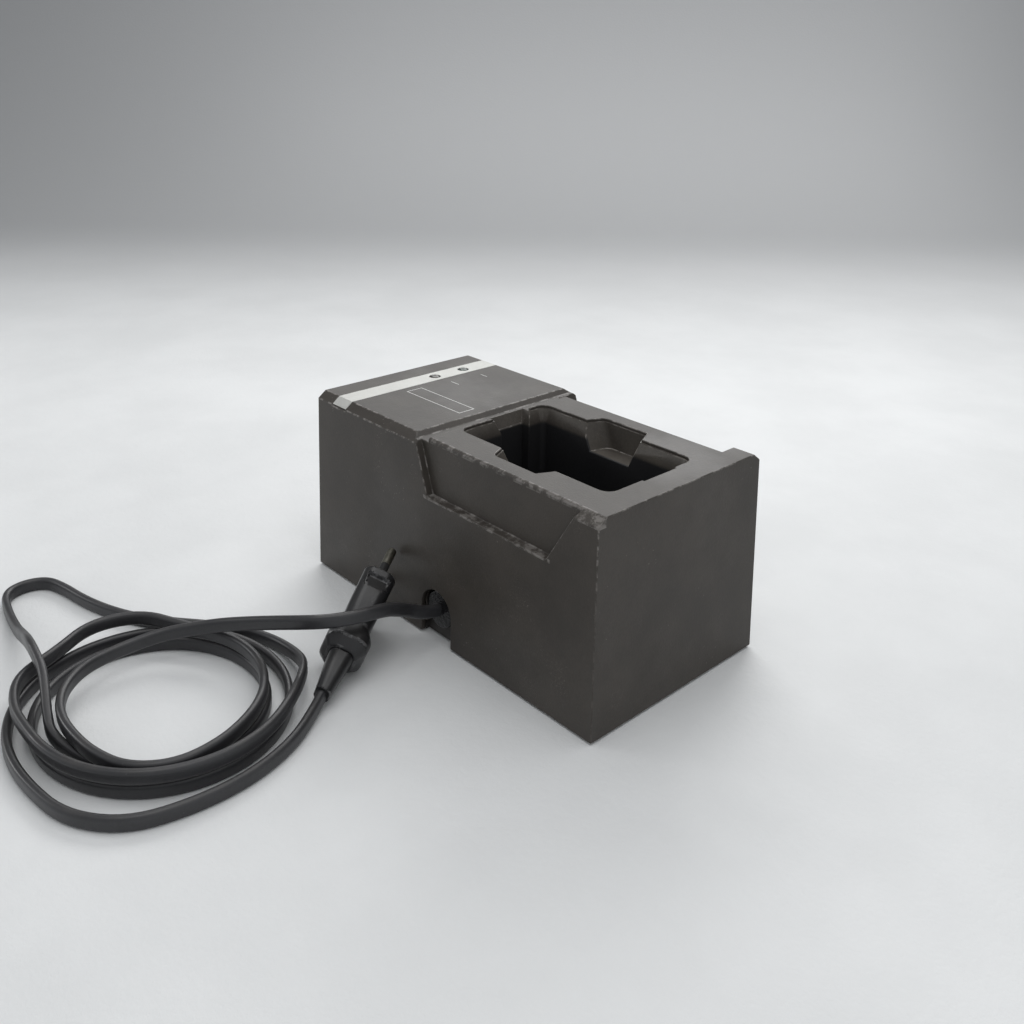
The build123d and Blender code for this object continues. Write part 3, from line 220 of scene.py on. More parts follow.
def makeWearGroup():
    group, start, end = newGroup(
        "wearMarks",
        {"Coords": "Vector", "Edge": "Float", "Heavy": "Float"},
        {"Specks": "Float", "Scratches": "Float", "Worn": "Float"},
    )
    coords = start["Coords"]
    dots = ramp(group, cells(group, coords, wearSetup["specks"]), *wearSetup["speckSize"])
    patches = ramp(group, noise(group, coords, **wearSetup["patches"]), *wearSetup["patchRange"])
    dotted = calc(group, "MAXIMUM", patches, start["Heavy"])
    feed(group, calc(group, "MULTIPLY", dots, dotted), end["Specks"])
    hair = ramp(group, offMiddle(group, noise(group, coords, **wearSetup["lines"])), *wearSetup["lineWidth"])
    places = ramp(group, noise(group, coords, **wearSetup["places"]), *wearSetup["placeRange"])
    feed(group, calc(group, "MULTIPLY", hair, places), end["Scratches"])
    broken = ramp(group, noise(group, coords, **wearSetup["broken"]), *wearSetup["brokenRange"])
    feed(group, calc(group, "MULTIPLY", start["Edge"], broken), end["Worn"])
    return group


# Dust that settles on what faces up
dustSetup = {
    "facing": (0.35, 0.95),
    "cloud": {"scale": 85.0, "detail": 5.0, "rough": 0.65},
    "cloudRange": (0.3, 0.75),
}


def makeDustGroup():
    group, start, end = newGroup(
        "dustFilm",
        {"Coords": "Vector", "Facing": "Float"},
        {"Dust": "Float"},
    )
    level = ramp(group, start["Facing"], *dustSetup["facing"])
    cloud = ramp(group, noise(group, start["Coords"], **dustSetup["cloud"]), *dustSetup["cloudRange"])
    feed(group, calc(group, "MULTIPLY", level, cloud), end["Dust"])
    return group


# Ink on the head top: an empty frame and a short lead to each LED
printMarks = {
    "frame": {"x": (24.0, 62.0), "y": (7.5, 15.8), "line": 0.42},
    "leads": ({"x": (55.1, 59.8), "y": (-27.35, -26.95)}, {"x": (54.6, 60.3), "y": (-9.25, -8.85)}),
    "lowest": 88.2,
    "fading": {"scale": 900.0, "detail": 2.0},
    "fadingRange": (0.25, 0.5, 0.55, 0.95),  # the noise from and to, then the ink it leaves
}


# Metres from the sides of an area in x and y, less than nothing inside it
def boxDistance(tree, axes, area):
    sides = []
    for axis, (low, high) in zip(axes, (area["x"], area["y"])):
        middle, half = (low + high) / 2 * mm, (high - low) / 2 * mm
        away = calc(tree, "ABSOLUTE", calc(tree, "SUBTRACT", axis, middle))
        sides.append(calc(tree, "SUBTRACT", away, half))
    return calc(tree, "MAXIMUM", *sides)


def makePrintGroup():
    group, start, end = newGroup("headPrint", {"Coords": "Vector"}, {"Ink": "Float"})
    axes = splitAxes(group, start["Coords"])
    rim = calc(group, "ABSOLUTE", boxDistance(group, axes, printMarks["frame"]))
    ink = calc(group, "LESS_THAN", rim, printMarks["frame"]["line"] / 2 * mm)
    for area in printMarks["leads"]:
        ink = calc(group, "MAXIMUM", ink, calc(group, "LESS_THAN", boxDistance(group, axes, area), 0.0))
    onTop = calc(group, "GREATER_THAN", axes[2], printMarks["lowest"] * mm)
    faded = ramp(group, noise(group, start["Coords"], **printMarks["fading"]), *printMarks["fadingRange"])
    feed(group, calc(group, "MULTIPLY", calc(group, "MULTIPLY", ink, onTop), faded), end["Ink"])
    return group


groups = {
    "moulded": makeMouldedGroup(),
    "wear": makeWearGroup(),
    "dust": makeDustGroup(),
    "print": makePrintGroup(),
}
print("effects made:", ", ".join(groups))


def newMaterial(name, finish):
    material = bpy.data.materials.new(name)
    material.use_nodes = True
    shader = material.node_tree.nodes["Principled BSDF"].inputs
    for key in ("Roughness", "Metallic", "IOR", "Coat Weight", "Transmission Weight", "Specular IOR Level"):
        if key in finish:
            shader[key].default_value = finish[key]
    return material, material.node_tree, shader


# The plug's middle line, from where the cord goes in
plugLine = {"tail": (-7.6, 109.5, 5.7), "axis": (0.548, -0.800, 0.245)}


def alongPlug(tree, axes):
    total = 0.0
    for axis, start, share in zip(axes, plugLine["tail"], plugLine["axis"]):
        run = calc(tree, "MULTIPLY", calc(tree, "SUBTRACT", axis, start * mm), share)
        total = calc(tree, "ADD", total, run)
    return total


# Where the case is rubbed most: the deck's back corner, its back edge and the lip under the back recess; on the
# lip the paler wear is partly real and partly painted light on an upward face the lamps leave dark
wornAndLitPlaces = (
    {"x": (-90.0, -77.0), "y": (43.4, 50.0), "z": (84.6, 89.5), "share": 0.8},
    {"x": (-79.0, 16.0), "y": (43.1, 44.6), "z": (86.4, 89.5), "share": 0.5},
    # the lip: real wear together with painted light
    {"x": (-66.0, 9.0), "y": (43.6, 48.5), "z": (63.0, 64.5), "share": 0.8},
)
heavyFade = (0.0004, -0.0004)  # metres across the sides of each place


def wornAndLitMask(tree, axes):
    wornAndLit = 0.0
    for place in wornAndLitPlaces:
        low, high = place["z"]
        away = calc(tree, "ABSOLUTE", calc(tree, "SUBTRACT", axes[2], (low + high) / 2 * mm))
        level = calc(tree, "LESS_THAN", away, (high - low) / 2 * mm)
        inside = ramp(tree, boxDistance(tree, axes, place), *heavyFade, 0.0, place["share"])
        wornAndLit = calc(tree, "MAXIMUM", wornAndLit, calc(tree, "MULTIPLY", inside, level))
    return wornAndLit


# Colours that lie over a moulded finish, and how its own light colour is made paler
inkColor = (0.60, 0.60, 0.58)
dustColor = (0.16, 0.145, 0.125)
speckTint = {"gain": 2.4, "lift": 0.06}
rubbedTint = {"gain": 2.1, "lift": 0.11}
upperEdges = {"z": (50.0, 75.0), "share": (0.15, 0.8)}  # the case is rubbed less towards its foot
# Painted shade: how the dark painted into the pocket's well fades at its sides
wellFade = (0.0006, 0.0001)  # metres
tipFade = {"length": 0.4, "share": 0.7}
mouldedDefaults = {"rough": (0.55, 0.45), "grain": 0.00003, "worn": 0.3, "marks": 0.3, "dust": 0.0}


def paler(color, tint):
    return tuple(min(1.0, value * tint["gain"] + tint["lift"]) for value in color)


# dark, light: the two ends of the mottling; rough: fresh and rubbed; grain in metres;
# then the well whose walls get painted shade, darker the lower they go under z; tip: where the plug's paler end
# face begins
def mouldedMaterial(name, finish):
    finish = {**mouldedDefaults, **finish}
    material, tree, shader = newMaterial(name, finish)
    coords = objectCoords(tree)
    edge = addNode(tree, "ShaderNodeAttribute", attribute_name="edge").outputs["Fac"]
    facing = splitAxes(tree, addNode(tree, "ShaderNodeNewGeometry").outputs["Normal"])[2]
    moulded = effect(tree, groups["moulded"], {"Coords": coords, "Dark": finish["dark"], "Light": finish["light"]})
    dust = effect(tree, groups["dust"], {"Coords": coords, "Facing": facing})["Dust"]
    axes = splitAxes(tree, coords)
    wornAndLit = 0.0
    if "printed" in finish:
        # The rubbed places carry real wear and, on the lip, painted light
        wornAndLit = wornAndLitMask(tree, axes)
        low, high = upperEdges["z"]
        upper = ramp(tree, axes[2], low * mm, high * mm, *upperEdges["share"])
        edge = calc(tree, "MAXIMUM", calc(tree, "MULTIPLY", edge, upper), wornAndLit)
    wear = effect(tree, groups["wear"], {"Coords": coords, "Edge": edge, "Heavy": wornAndLit})
    marks = calc(tree, "MAXIMUM", wear["Specks"], wear["Scratches"])
    color = moulded["Color"]
    layers = (
        (dust, finish["dust"], dustColor),
        (wear["Worn"], finish["worn"], paler(finish["light"], rubbedTint)),
        (marks, finish["marks"], paler(finish["light"], speckTint)),
    )
    for mask, strength, cover in layers:
        color = mixColor(tree, calc(tree, "MULTIPLY", mask, strength), color, cover)
    # Painted shade: the pocket's walls turn dark towards the bottom of the well, standing in for its shadow
    if "deep" in finish:
        low, high = finish["deep"]["z"]
        depth = ramp(tree, axes[2], high * mm, low * mm)
        well = ramp(tree, boxDistance(tree, axes, finish["deep"]), *wellFade)
        color = mixColor(tree, calc(tree, "MULTIPLY", depth, well), color, finish["deepColor"])
    # Past the tip the plug's end face is turned paler
    if "tip" in finish:
        low, high = finish["tip"] * mm, (finish["tip"] + tipFade["length"]) * mm
        past = ramp(tree, alongPlug(tree, axes), low, high, 0.0, tipFade["share"])
        color = mixColor(tree, past, color, dustColor)
    if "printed" in finish:
        ink = effect(tree, groups["print"], {"Coords": coords})["Ink"]
        color = mixColor(tree, ink, color, inkColor)
    feed(tree, color, shader["Base Color"])
    fresh, worn = finish["rough"]
    smooth = calc(tree, "MAXIMUM", moulded["Rubbed"], wear["Worn"])
    feed(tree, ramp(tree, smooth, 0.0, 1.0, fresh, worn), shader["Roughness"])
    feed(tree, bump(tree, moulded["Grain"], finish["grain"]), shader["Normal"])
    return material


# Bare metal with streaks and stains
metalSetup = {
    "streak": {"scale": 700.0, "detail": 3.0, "rough": 0.6},
    "streakRange": (0.3, 0.7),
    "stain": {"scale": 90.0, "detail": 3.0, "rough": 0.6},
    "stainRange": (0.35, 0.7),
    "rough": (0.25, 0.45),
    "depth": 0.00001,  # metres
}


# dark, light: in and beside the stains; rough: along the streaks; stretch: of the streaks
def metalMaterial(name, finish):
    material, tree, shader = newMaterial(name, {"Metallic": 1.0, **finish})
    coords = objectCoords(tree)
    streak = noise(tree, coords, stretch=finish.get("stretch"), **metalSetup["streak"])
    stain = ramp(tree, noise(tree, coords, **metalSetup["stain"]), *metalSetup["stainRange"])
    feed(tree, mixColor(tree, stain, finish["light"], finish["dark"]), shader["Base Color"])
    rough = finish.get("rough", metalSetup["rough"])
    feed(tree, ramp(tree, streak, *metalSetup["streakRange"], *rough), shader["Roughness"])
    feed(tree, bump(tree, streak, metalSetup["depth"]), shader["Normal"])
    return material


# Smooth lenses, sleeves and insulation, with faint ripples
glossSetup = {
    "stain": {"scale": 240.0, "detail": 3.0, "rough": 0.6},
    "stainRange": (0.35, 0.65),
    "ripple": 1500.0,
    "depth": 0.000012,  # metres
}


def glossMaterial(name, finish):
    material, tree, shader = newMaterial(name, finish)
    coords = objectCoords(tree)
    stain = ramp(tree, noise(tree, coords, **glossSetup["stain"]), *glossSetup["stainRange"])
    feed(tree, mixColor(tree, stain, finish["dark"], finish["light"]), shader["Base Color"])
    ripple = noise(tree, coords, finish.get("ripple", glossSetup["ripple"]))
    feed(tree, bump(tree, ripple, finish.get("depth", glossSetup["depth"])), shader["Normal"])
    return material


# Green mask over copper tracks
boardSetup = {
    "tracks": {"scale": 130.0, "detail": 0.0, "stretch": (1.0, 3.0, 1.0)},
    "trackWidth": (0.05, 0.04),
    "weave": {"scale": 2600.0, "detail": 1.0},
    "copper": 0.00003,  # metres
}


def boardMaterial(name, finish):
    material, tree, shader = newMaterial(name, finish)
    coords = objectCoords(tree)
    tracks = noise(tree, coords, **boardSetup["tracks"])
    copper = ramp(tree, offMiddle(tree, tracks), *boardSetup["trackWidth"])
    weave = mixColor(tree, noise(tree, coords, **boardSetup["weave"]), finish["dark"], finish["light"])
    feed(tree, mixColor(tree, copper, weave, finish["track"]), shader["Base Color"])
    feed(tree, bump(tree, copper, boardSetup["copper"]), shader["Normal"])
    return material


# One finish for each material slot of the record
mouldedFinishes = {
    "case_plastic": {
        "dark": (0.036, 0.031, 0.026), "light": (0.050, 0.043, 0.036), "rough": (0.52, 0.42),
        "Specular IOR Level": 0.42, "worn": 0.9, "marks": 0.5, "dust": 0.12, "printed": True,
    },
    "pocket_plastic": {
        "dark": (0.050, 0.043, 0.036), "light": (0.080, 0.070, 0.058), "worn": 0.8, "marks": 0.5, "dust": 0.30,
        # painted shade on the walls of the pocket's deep well
        "deep": {"x": (-73.8, 12.4), "y": (-18.8, 26.2), "z": (80.3, 82.2)}, "deepColor": (0.012, 0.012, 0.013),
    },
    "base_plastic": {"dark": (0.026, 0.024, 0.022), "light": (0.036, 0.033, 0.030)},
    "foot_rubber": {"dark": (0.018, 0.018, 0.018), "light": (0.03, 0.03, 0.03), "rough": (0.9, 0.75), "dust": 0.2},
    "silver_strip": {
        "dark": (0.50, 0.50, 0.475), "light": (0.58, 0.58, 0.55), "rough": (0.55, 0.42), "Metallic": 0.25,
        "grain": 0.00001, "marks": 0.1,
    },
    "label_film": {
        "dark": (0.60, 0.60, 0.58), "light": (0.66, 0.66, 0.64), "rough": (0.4, 0.3), "grain": 0.00001,
        "marks": 0.1,
    },
    "bobbin_plastic": {"dark": (0.68, 0.66, 0.58), "light": (0.78, 0.76, 0.68)},
    "chip_black": {"dark": (0.022, 0.022, 0.024), "light": (0.03, 0.03, 0.033)},
    "block_plastic": {"dark": (0.05, 0.05, 0.055), "light": (0.07, 0.07, 0.075), "dust": 0.2},
    "switch_plastic": {"dark": (0.07, 0.07, 0.08), "light": (0.09, 0.09, 0.10), "dust": 0.2},
    "cord_vinyl": {
        "dark": (0.026, 0.026, 0.028), "light": (0.036, 0.036, 0.039), "rough": (0.42, 0.32), "grain": 0.000012,
        "marks": 0.2, "dust": 0.12,
    },
    "plug_plastic": {
        "dark": (0.011, 0.011, 0.012), "light": (0.018, 0.018, 0.019), "rough": (0.40, 0.28), "grain": 0.00001,
        "worn": 0.55, "dust": 0.1, "tip": 53.5,
    },
    "sleeve_plastic": {
        "dark": (0.02, 0.02, 0.02), "light": (0.035, 0.035, 0.035), "rough": (0.6, 0.4), "grain": 0.00001,
    },
}
metalFinishes = {
    "core_steel": {
        "dark": (0.20, 0.20, 0.21), "light": (0.34, 0.34, 0.35), "rough": (0.35, 0.6), "stretch": (1.0, 1.0, 40.0),
    },
    "copper_wire": {
        "dark": (0.42, 0.16, 0.07), "light": (0.60, 0.25, 0.11), "rough": (0.2, 0.4), "stretch": (1.0, 1.0, 9.0),
    },
    "zinc_screw": {"dark": (0.42, 0.41, 0.38), "light": (0.60, 0.59, 0.55)},
    "tin_plate": {"dark": (0.46, 0.46, 0.46), "light": (0.62, 0.62, 0.62)},
    "fin_aluminium": {"dark": (0.55, 0.55, 0.56), "light": (0.70, 0.70, 0.71), "rough": (0.3, 0.5)},
    "contact_brass": {"dark": (0.56, 0.40, 0.17), "light": (0.74, 0.56, 0.27), "rough": (0.15, 0.35)},
    "spring_steel": {"dark": (0.38, 0.38, 0.39), "light": (0.52, 0.52, 0.53), "rough": (0.2, 0.35)},
    "pin_metal": {"dark": (0.20, 0.19, 0.16), "light": (0.34, 0.33, 0.28), "rough": (0.3, 0.5)},
}
glossFinishes = {
    "led_amber": {
        "dark": (0.030, 0.026, 0.018), "light": (0.05, 0.040, 0.028), "Roughness": 0.18, "Coat Weight": 0.6,
    },
    "led_green": {
        "dark": (0.014, 0.030, 0.020), "light": (0.022, 0.045, 0.030), "Roughness": 0.18, "Coat Weight": 0.6,
    },
    "capacitor_sleeve": {"dark": (0.02, 0.03, 0.09), "light": (0.03, 0.045, 0.12), "Roughness": 0.3},
    "resistor_tan": {"dark": (0.48, 0.36, 0.22), "light": (0.58, 0.45, 0.29), "Roughness": 0.35},
    "fuse_glass": {
        "dark": (0.8, 0.84, 0.84), "light": (0.86, 0.9, 0.9), "Roughness": 0.05,
        "Transmission Weight": 0.9, "IOR": 1.5,
    },
    "lead_red": {"dark": (0.30, 0.02, 0.015), "light": (0.40, 0.03, 0.025), "Roughness": 0.4},
    "lead_blue": {"dark": (0.02, 0.05, 0.26), "light": (0.03, 0.07, 0.34), "Roughness": 0.4},
}
boardFinishes = {
    "board_green": {
        "dark": (0.02, 0.11, 0.045), "light": (0.03, 0.16, 0.065), "track": (0.06, 0.24, 0.09), "Roughness": 0.4,
    },
}
# Glossy rubber of the ring in the cord arch, with an uneven skin
ringFinish = {
    "dark": (0.006, 0.006, 0.007), "light": (0.012, 0.012, 0.013), "Roughness": 0.2, "Coat Weight": 0.25,
    "Specular IOR Level": 0.35, "ripple": 700.0, "depth": 0.0004,
}


def makeMaterials():
    made = {}
    kinds = (
        (mouldedMaterial, mouldedFinishes),
        (metalMaterial, metalFinishes),
        (glossMaterial, glossFinishes),
        (boardMaterial, boardFinishes),
    )
    for make, finishes in kinds:
        for slot, finish in finishes.items():
            first, *rest = slot.split("_")
            made[slot] = make(first + "".join(word.capitalize() for word in rest), finish)
    for entry in frame["record"]["subparts"]:
        node = nodes[entry["node"]]
        node.data.materials.clear()
        node.data.materials.append(made[entry["material_slot"]])
    ring = nodes["cord_grommet"].data
    ring.materials.clear()
    ring.materials.append(glossMaterial("ringRubber", ringFinish))
    print("materials made:", len(made) + 1)
    return made


materials = makeMaterials()


# Pale paper that runs from the floor up into the backdrop
stageSetup = {
    "turn": -43.0,  # degrees, so that the backdrop faces the camera
    "front": -3.0,  # metres, as are the sizes below
    "back": 1.5,
    "width": 7.0,
    "height": 3.0,
    "sweep": 0.6,
    "sweepFaces": 16,
    "near": (0.72, 0.73, 0.73),
    "nearLight": (0.78, 0.79, 0.79),
    # painted shade: the paper turns dark grey far behind the object, standing in for the light falling off
    "far": (0.29, 0.295, 0.30),
    "fade": (0.20, 1.0),  # behind the object, where the paper darkens
    "rough": 0.55,
    "cloud": {"scale": 9.0, "detail": 4.0, "rough": 0.6},
    "cloudRange": (0.3, 0.7),
    "grain": {"scale": 350.0, "detail": 3.0, "rough": 0.6},
    "grainDepth": 0.0004,
    "grainShare": 0.5,
}


def paperMaterial(turn):
    material, tree, shader = newMaterial("floorPaper", {"Roughness": stageSetup["rough"]})
    coords = objectCoords(tree)
    cloud = ramp(tree, noise(tree, coords, **stageSetup["cloud"]), *stageSetup["cloudRange"])
    paper = mixColor(tree, cloud, stageSetup["near"], stageSetup["nearLight"])
    axes = splitAxes(tree, coords)
    behind = calc(
        tree, "ADD",
        calc(tree, "MULTIPLY", axes[0], math.cos(turn)),
        calc(tree, "MULTIPLY", axes[1], math.sin(turn)),
    )
    # Painted shade: the paper darkens with distance behind the object
    distance = ramp(tree, calc(tree, "ADD", behind, axes[2]), *stageSetup["fade"])
    feed(tree, mixColor(tree, distance, paper, stageSetup["far"]), shader["Base Color"])
    grain = noise(tree, coords, **stageSetup["grain"])
    feed(tree, bump(tree, grain, stageSetup["grainDepth"], stageSetup["grainShare"]), shader["Normal"])
    return material


# Only the floor edge at this x is left selected
def pickEdges(piece, place):
    mesh = piece.data
    bpy.ops.object.mode_set(mode="EDIT")
    bpy.ops.mesh.select_mode(type="EDGE")
    bpy.ops.mesh.select_all(action="DESELECT")
    bpy.ops.object.mode_set(mode="OBJECT")
    for edge in mesh.edges:
        ends = [mesh.vertices[index].co for index in edge.vertices]
        edge.select = all(abs(end.x - place) < mm and abs(end.z) < mm for end in ends)


def makeStage():
    clearSelection()
    length = stageSetup["back"] - stageSetup["front"]
    middle = (stageSetup["back"] + stageSetup["front"]) / 2
    bpy.ops.mesh.primitive_plane_add(size=1, location=(middle, 0, 0))
    floor = bpy.context.object
    floor.name = "paperFloor"
    floor.scale = (length, stageSetup["width"], 1)
    bpy.ops.object.transform_apply(location=True, rotation=True, scale=True)
    pickEdges(floor, stageSetup["back"])
    lift = {"value": (0, 0, stageSetup["height"])}
    bpy.ops.object.mode_set(mode="EDIT")
    bpy.ops.mesh.extrude_edges_move(TRANSFORM_OT_translate=lift)
    bpy.ops.object.mode_set(mode="OBJECT")
    pickEdges(floor, stageSetup["back"])
    bpy.ops.object.mode_set(mode="EDIT")
    bpy.ops.mesh.bevel(
        offset=stageSetup["sweep"], offset_type="OFFSET", segments=stageSetup["sweepFaces"], affect="EDGES",
    )
    bpy.ops.object.mode_set(mode="OBJECT")
    bpy.ops.object.shade_smooth()
    turn = math.radians(stageSetup["turn"])
    floor.data.materials.append(paperMaterial(turn))
    floor.rotation_euler = (0, 0, turn)
    bpy.ops.object.transform_apply(location=True, rotation=True, scale=True)
    print("stage made")


# Window light from behind the object, a soft top light and two weak fills, in metres and watts
lampSetup = {
    "windowLight": {"place": (0.85, -1.0, 0.95), "aim": (-0.05, 0.03, 0.05), "size": (1.5, 0.9), "power": 15.5},
    "topLight": {"place": (-0.1, 0.0, 1.5), "aim": (0, 0.05, 0), "size": (1.4, 1.2), "power": 8.0},
    "sideLight": {"place": (1.1, 0.85, 0.4), "aim": (0.05, 0.06, 0.03), "size": (0.3, 0.3), "power": 2.0},
    "fillLight": {"place": (-1.2, 0.1, 0.7), "aim": (-0.1, 0.1, 0.02), "size": (0.9, 0.7), "power": 1.0},
}
worldSetup = {"color": (0.95, 0.97, 1.0), "strength": 0.5}


def makeLights():
    for name, lamp in lampSetup.items():
        direction = Vector(lamp["aim"]) - Vector(lamp["place"])
        turn = direction.to_track_quat("-Z", "Y").to_euler()
        bpy.ops.object.light_add(type="AREA", location=lamp["place"], rotation=turn)
        light = bpy.context.object
        light.name = name
        light.data.shape = "RECTANGLE"
        light.data.size, light.data.size_y = lamp["size"]
        light.data.energy = lamp["power"]
    world = bpy.data.worlds.new("studio")
    world.use_nodes = True
    background = world.node_tree.nodes["Background"]
    background.inputs["Color"].default_value = (*worldSetup["color"], 1.0)
    background.inputs["Strength"].default_value = worldSetup["strength"]
    bpy.context.scene.world = world
    bpy.context.scene.view_settings.view_transform = "Standard"
    print("lights made:", len(lampSetup))


# Mains cord: out of the arch, over the plug, into a loose coil on the floor and back to the plug
cordSetup = {
    "width": 5.8,
    "thickness": 3.5,
    "waist": 0.10,  # how far the groove between the two cores goes in
    "waistSpread": 0.16,
    "corners": 24,  # of the section, which is squarer than an oval
    "squareAcross": 0.8,
    "squareAlong": 0.62,
    "length": 1640.0,
    "gland": (0.5, 46.42, 14.0),
    "lead": (
        (0.8, 53.6, 15.0),
        (1.8, 60.5, 18.4),
        (0.4, 67.5, 22.4),
        (-0.8, 74.5, 25.6),
        (-1.2, 82.0, 26.9),
        (0.0, 90.0, 27.6),
        (3.5, 98.0, 27.6),
        (10.0, 104.8, 26.9),
        (20.5, 110.3, 24.2),
        (34.0, 116.5, 20.2),
        (47.0, 122.8, 16.0),
        (57.5, 131.5, 12.6),
        (65.0, 142.0, 10.4),
    ),
    "lobe": (
        (8.0, 106.5, 8.8),
        (23.5, 102.2, 5.2),
        (41.5, 102.5, 2.9),
        (56.0, 108.5, 2.9),
        (69.5, 118.0, 2.9),
        (82.5, 129.5, 2.9),
        (95.0, 138.5, 2.9),
        (109.0, 145.0, 2.9),
        (125.0, 149.8, 2.9),
        (141.5, 152.5, 2.9),
        (152.5, 156.0, 2.9),
        (156.2, 165.5, 2.9),
        (152.0, 175.0, 2.9),
        (134.5, 178.5, 3.3),
        (113.0, 181.2, 6.0),
        (97.0, 183.0, 11.5),
        (84.0, 184.8, 15.9),
        (72.5, 186.0, 16.1),
        (62.0, 187.2, 15.0),
        (52.0, 190.0, 12.0),
        (43.0, 192.8, 8.4),
        (34.0, 194.5, 5.2),
    ),
    "plugRun": 7.0,  # straight piece in front of the plug
    "order": 3,
    "resolution": 6,
}
coilSetup = {  # angles in degrees, growth in millimetres a turn; a bump is its angle, reach and spread
    "centre": (31.0, 157.0),
    "oval": 2.5,
    "ovalAngle": 10.0,
    "step": 20.0,
    "upper": {
        "start": 5.0, "end": 580.0, "radius": 33.0, "growth": 11.0, "height": 9.3,
        "bumps": ((155.0, 8.0, 32.0), (353.0, 18.0, 19.0), (402.0, 9.5, 24.0)),
    },
    "lower": {
        "start": 115.0, "end": 927.0, "radius": 38.0, "growth": 8.4, "height": 2.9,
        "bumps": ((860.0, 8.0, 25.0),),
    },
}


# The loose turns of one part of the coil
def coilPoints(part):
    points = []
    sweep = part["end"] - part["start"]
    count = round(sweep / coilSetup["step"])
    for index in range(count + 1):
        angle = part["start"] + sweep * index / count
        radius = part["radius"] + part["growth"] * (angle - part["start"]) / 360
        for place, reach, spread in part["bumps"]:
            radius += reach * math.exp(-(((angle - place) / spread) ** 2))
        radius += coilSetup["oval"] * math.cos(2 * math.radians(angle - coilSetup["ovalAngle"]))
        around = math.radians(angle)
        x = coilSetup["centre"][0] + radius * math.cos(around)
        y = coilSetup["centre"][1] + radius * math.sin(around)
        points.append((x, y, part["height"]))
    return points


# Two cores side by side, upright as the cord lies on its edge
def cordProfile():
    profile = bpy.data.curves.new("cordProfile", "CURVE")
    profile.dimensions = "2D"
    outline = profile.splines.new("POLY")
    outline.points.add(cordSetup["corners"] - 1)
    for index, point in enumerate(outline.points):
        turn = 2 * math.pi * index / cordSetup["corners"]
        flat = math.copysign(abs(math.cos(turn)) ** cordSetup["squareAcross"], math.cos(turn))
        tall = math.copysign(abs(math.sin(turn)) ** cordSetup["squareAlong"], math.sin(turn))
        waist = 1.0 - cordSetup["waist"] * math.exp(-((tall / cordSetup["waistSpread"]) ** 2))
        across = flat * waist * cordSetup["thickness"] / 2 * mm
        point.co = (across, tall * cordSetup["width"] / 2 * mm, 0, 1)
    outline.use_cyclic_u = True
    holder = bpy.data.objects.new("cordProfile", profile)
    bpy.context.scene.collection.objects.link(holder)
    holder.hide_render = True
    return holder


def makeCord():
    tail = Vector(plugLine["tail"])
    before = tail - Vector(plugLine["axis"]) * cordSetup["plugRun"]
    points = [cordSetup["gland"], *cordSetup["lead"], *coilPoints(coilSetup["upper"]), *cordSetup["lobe"]]
    points += [*coilPoints(coilSetup["lower"]), tuple(before), tuple(tail)]
    data = bpy.data.curves.new("mainsCord", "CURVE")
    data.dimensions = "3D"
    data.twist_mode = "Z_UP"
    data.bevel_mode = "OBJECT"
    data.bevel_object = cordProfile()
    data.use_fill_caps = True
    spline = data.splines.new("NURBS")
    spline.points.add(len(points) - 1)
    for point, place in zip(spline.points, points):
        point.co = (*(value * mm for value in place), 1)
    spline.order_u = cordSetup["order"]
    spline.use_endpoint_u = True
    spline.resolution_u = cordSetup["resolution"]
    cord = bpy.data.objects.new("mainsCord", data)
    bpy.context.scene.collection.objects.link(cord)
    data.materials.append(materials["cord_vinyl"])
    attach(cord, "charger")
    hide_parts("cord_lead", "cord_coil_upper", "cord_lobe", "cord_coil_lower", "cord_plug_end")
    print("cord laid through", len(points), "points")


# A loose copy of a CAD node's mesh with its doubles merged and, if asked, its flat faces joined
edgeAngles = {"flat": 0.5, "round": 22.0, "smooth": 50.0}  # degrees


def copyNode(node, name, flatten=False):
    piece = bpy.data.objects.new(name, nodes[node].data.copy())
    bpy.context.scene.collection.objects.link(piece)
    pickOnly(piece)
    bpy.ops.object.mode_set(mode="EDIT")
    bpy.ops.mesh.select_all(action="SELECT")
    bpy.ops.mesh.remove_doubles(threshold=mergeDistance)
    if flatten:
        bpy.ops.mesh.dissolve_limited(angle_limit=math.radians(edgeAngles["flat"]))
        bpy.ops.mesh.select_all(action="DESELECT")
    bpy.ops.object.mode_set(mode="OBJECT")
    return piece


# The rounded strips carry 1 in the attribute "edge" and go back to the first material
def markEdges(mesh):
    edge = mesh.attributes.new("edge", "FLOAT", "CORNER")
    for polygon in mesh.polygons:
        for corner in polygon.loop_indices:
            edge.data[corner].value = float(polygon.material_index)
        polygon.material_index = 0
    mesh.materials.pop(index=1)


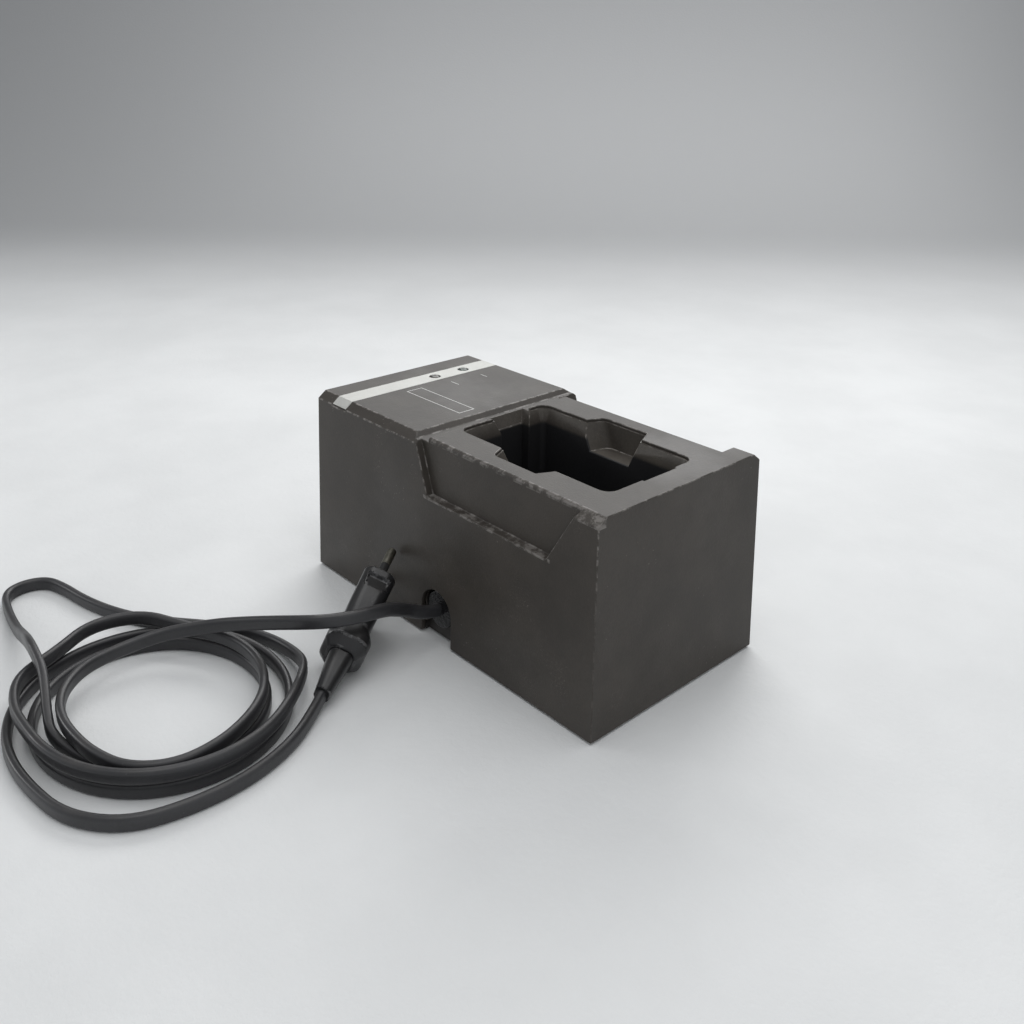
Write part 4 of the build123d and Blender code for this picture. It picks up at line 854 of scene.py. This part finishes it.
# Moulded pieces whose edges are rounded by their own radius
softEdges = {
    "housing": {"radius": 0.45, "segments": 2, "slot": "case_plastic"},
    "pocket_cup": {"radius": 0.35, "segments": 2, "slot": "pocket_plastic"},
    "silver_stripe": {"radius": 0.12, "segments": 1, "slot": "silver_strip"},
    "plug_body": {"radius": 0.8, "segments": 3, "slot": "plug_plastic"},
    "plug_boot": {"radius": 0.5, "segments": 2, "slot": "plug_plastic"},
}
normalWeight = 100  # large faces decide the shading


def softCopy(name, setup):
    piece = copyNode(name, name + "Soft", flatten=True)
    piece.data.materials.append(materials[setup["slot"]])
    bevel = piece.modifiers.new("edge", "BEVEL")
    bevel.width = setup["radius"] * mm
    bevel.segments = setup["segments"]
    bevel.limit_method = "ANGLE"
    bevel.angle_limit = math.radians(edgeAngles["round"])
    bevel.material = 1  # the second place, which marks the rounded strips
    bevel.use_clamp_overlap = False
    bpy.ops.object.modifier_apply(modifier="edge")
    bpy.ops.object.shade_smooth_by_angle(angle=math.radians(edgeAngles["smooth"]))
    even = piece.modifiers.new("even", "WEIGHTED_NORMAL")
    even.weight = normalWeight
    even.keep_sharp = True
    bpy.ops.object.modifier_apply(modifier="even")
    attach(piece, "charger")
    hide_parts(name)
    markEdges(piece.data)
    print(name, "softened:", len(piece.data.polygons), "faces")
    return piece


# The springs under the contact pins, which close up as their pins are pushed down, copied from their nodes as they
# are
springSetup = {
    "pins": ("plus", "sense", "minus"),
    "foot": 23.0,  # heights over the floor
    "top": 28.55,
    "travel": 2.0,
}


def makeSprings():
    for pin in springSetup["pins"]:
        spring = copyNode("contact_spring_" + pin, "contactSpring" + pin.capitalize())
        bpy.ops.object.shade_smooth_by_angle(angle=math.radians(edgeAngles["smooth"]))
        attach(spring, "charger")
        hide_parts("contact_spring_" + pin)
        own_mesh(spring)
    print("springs made:", len(springSetup["pins"]))


makeCamera()
makeStage()
makeLights()
softPieces = {name: softCopy(name, setup) for name, setup in softEdges.items()}
print("edges softened on", len(softPieces), "pieces")
makeSprings()
makeCord()
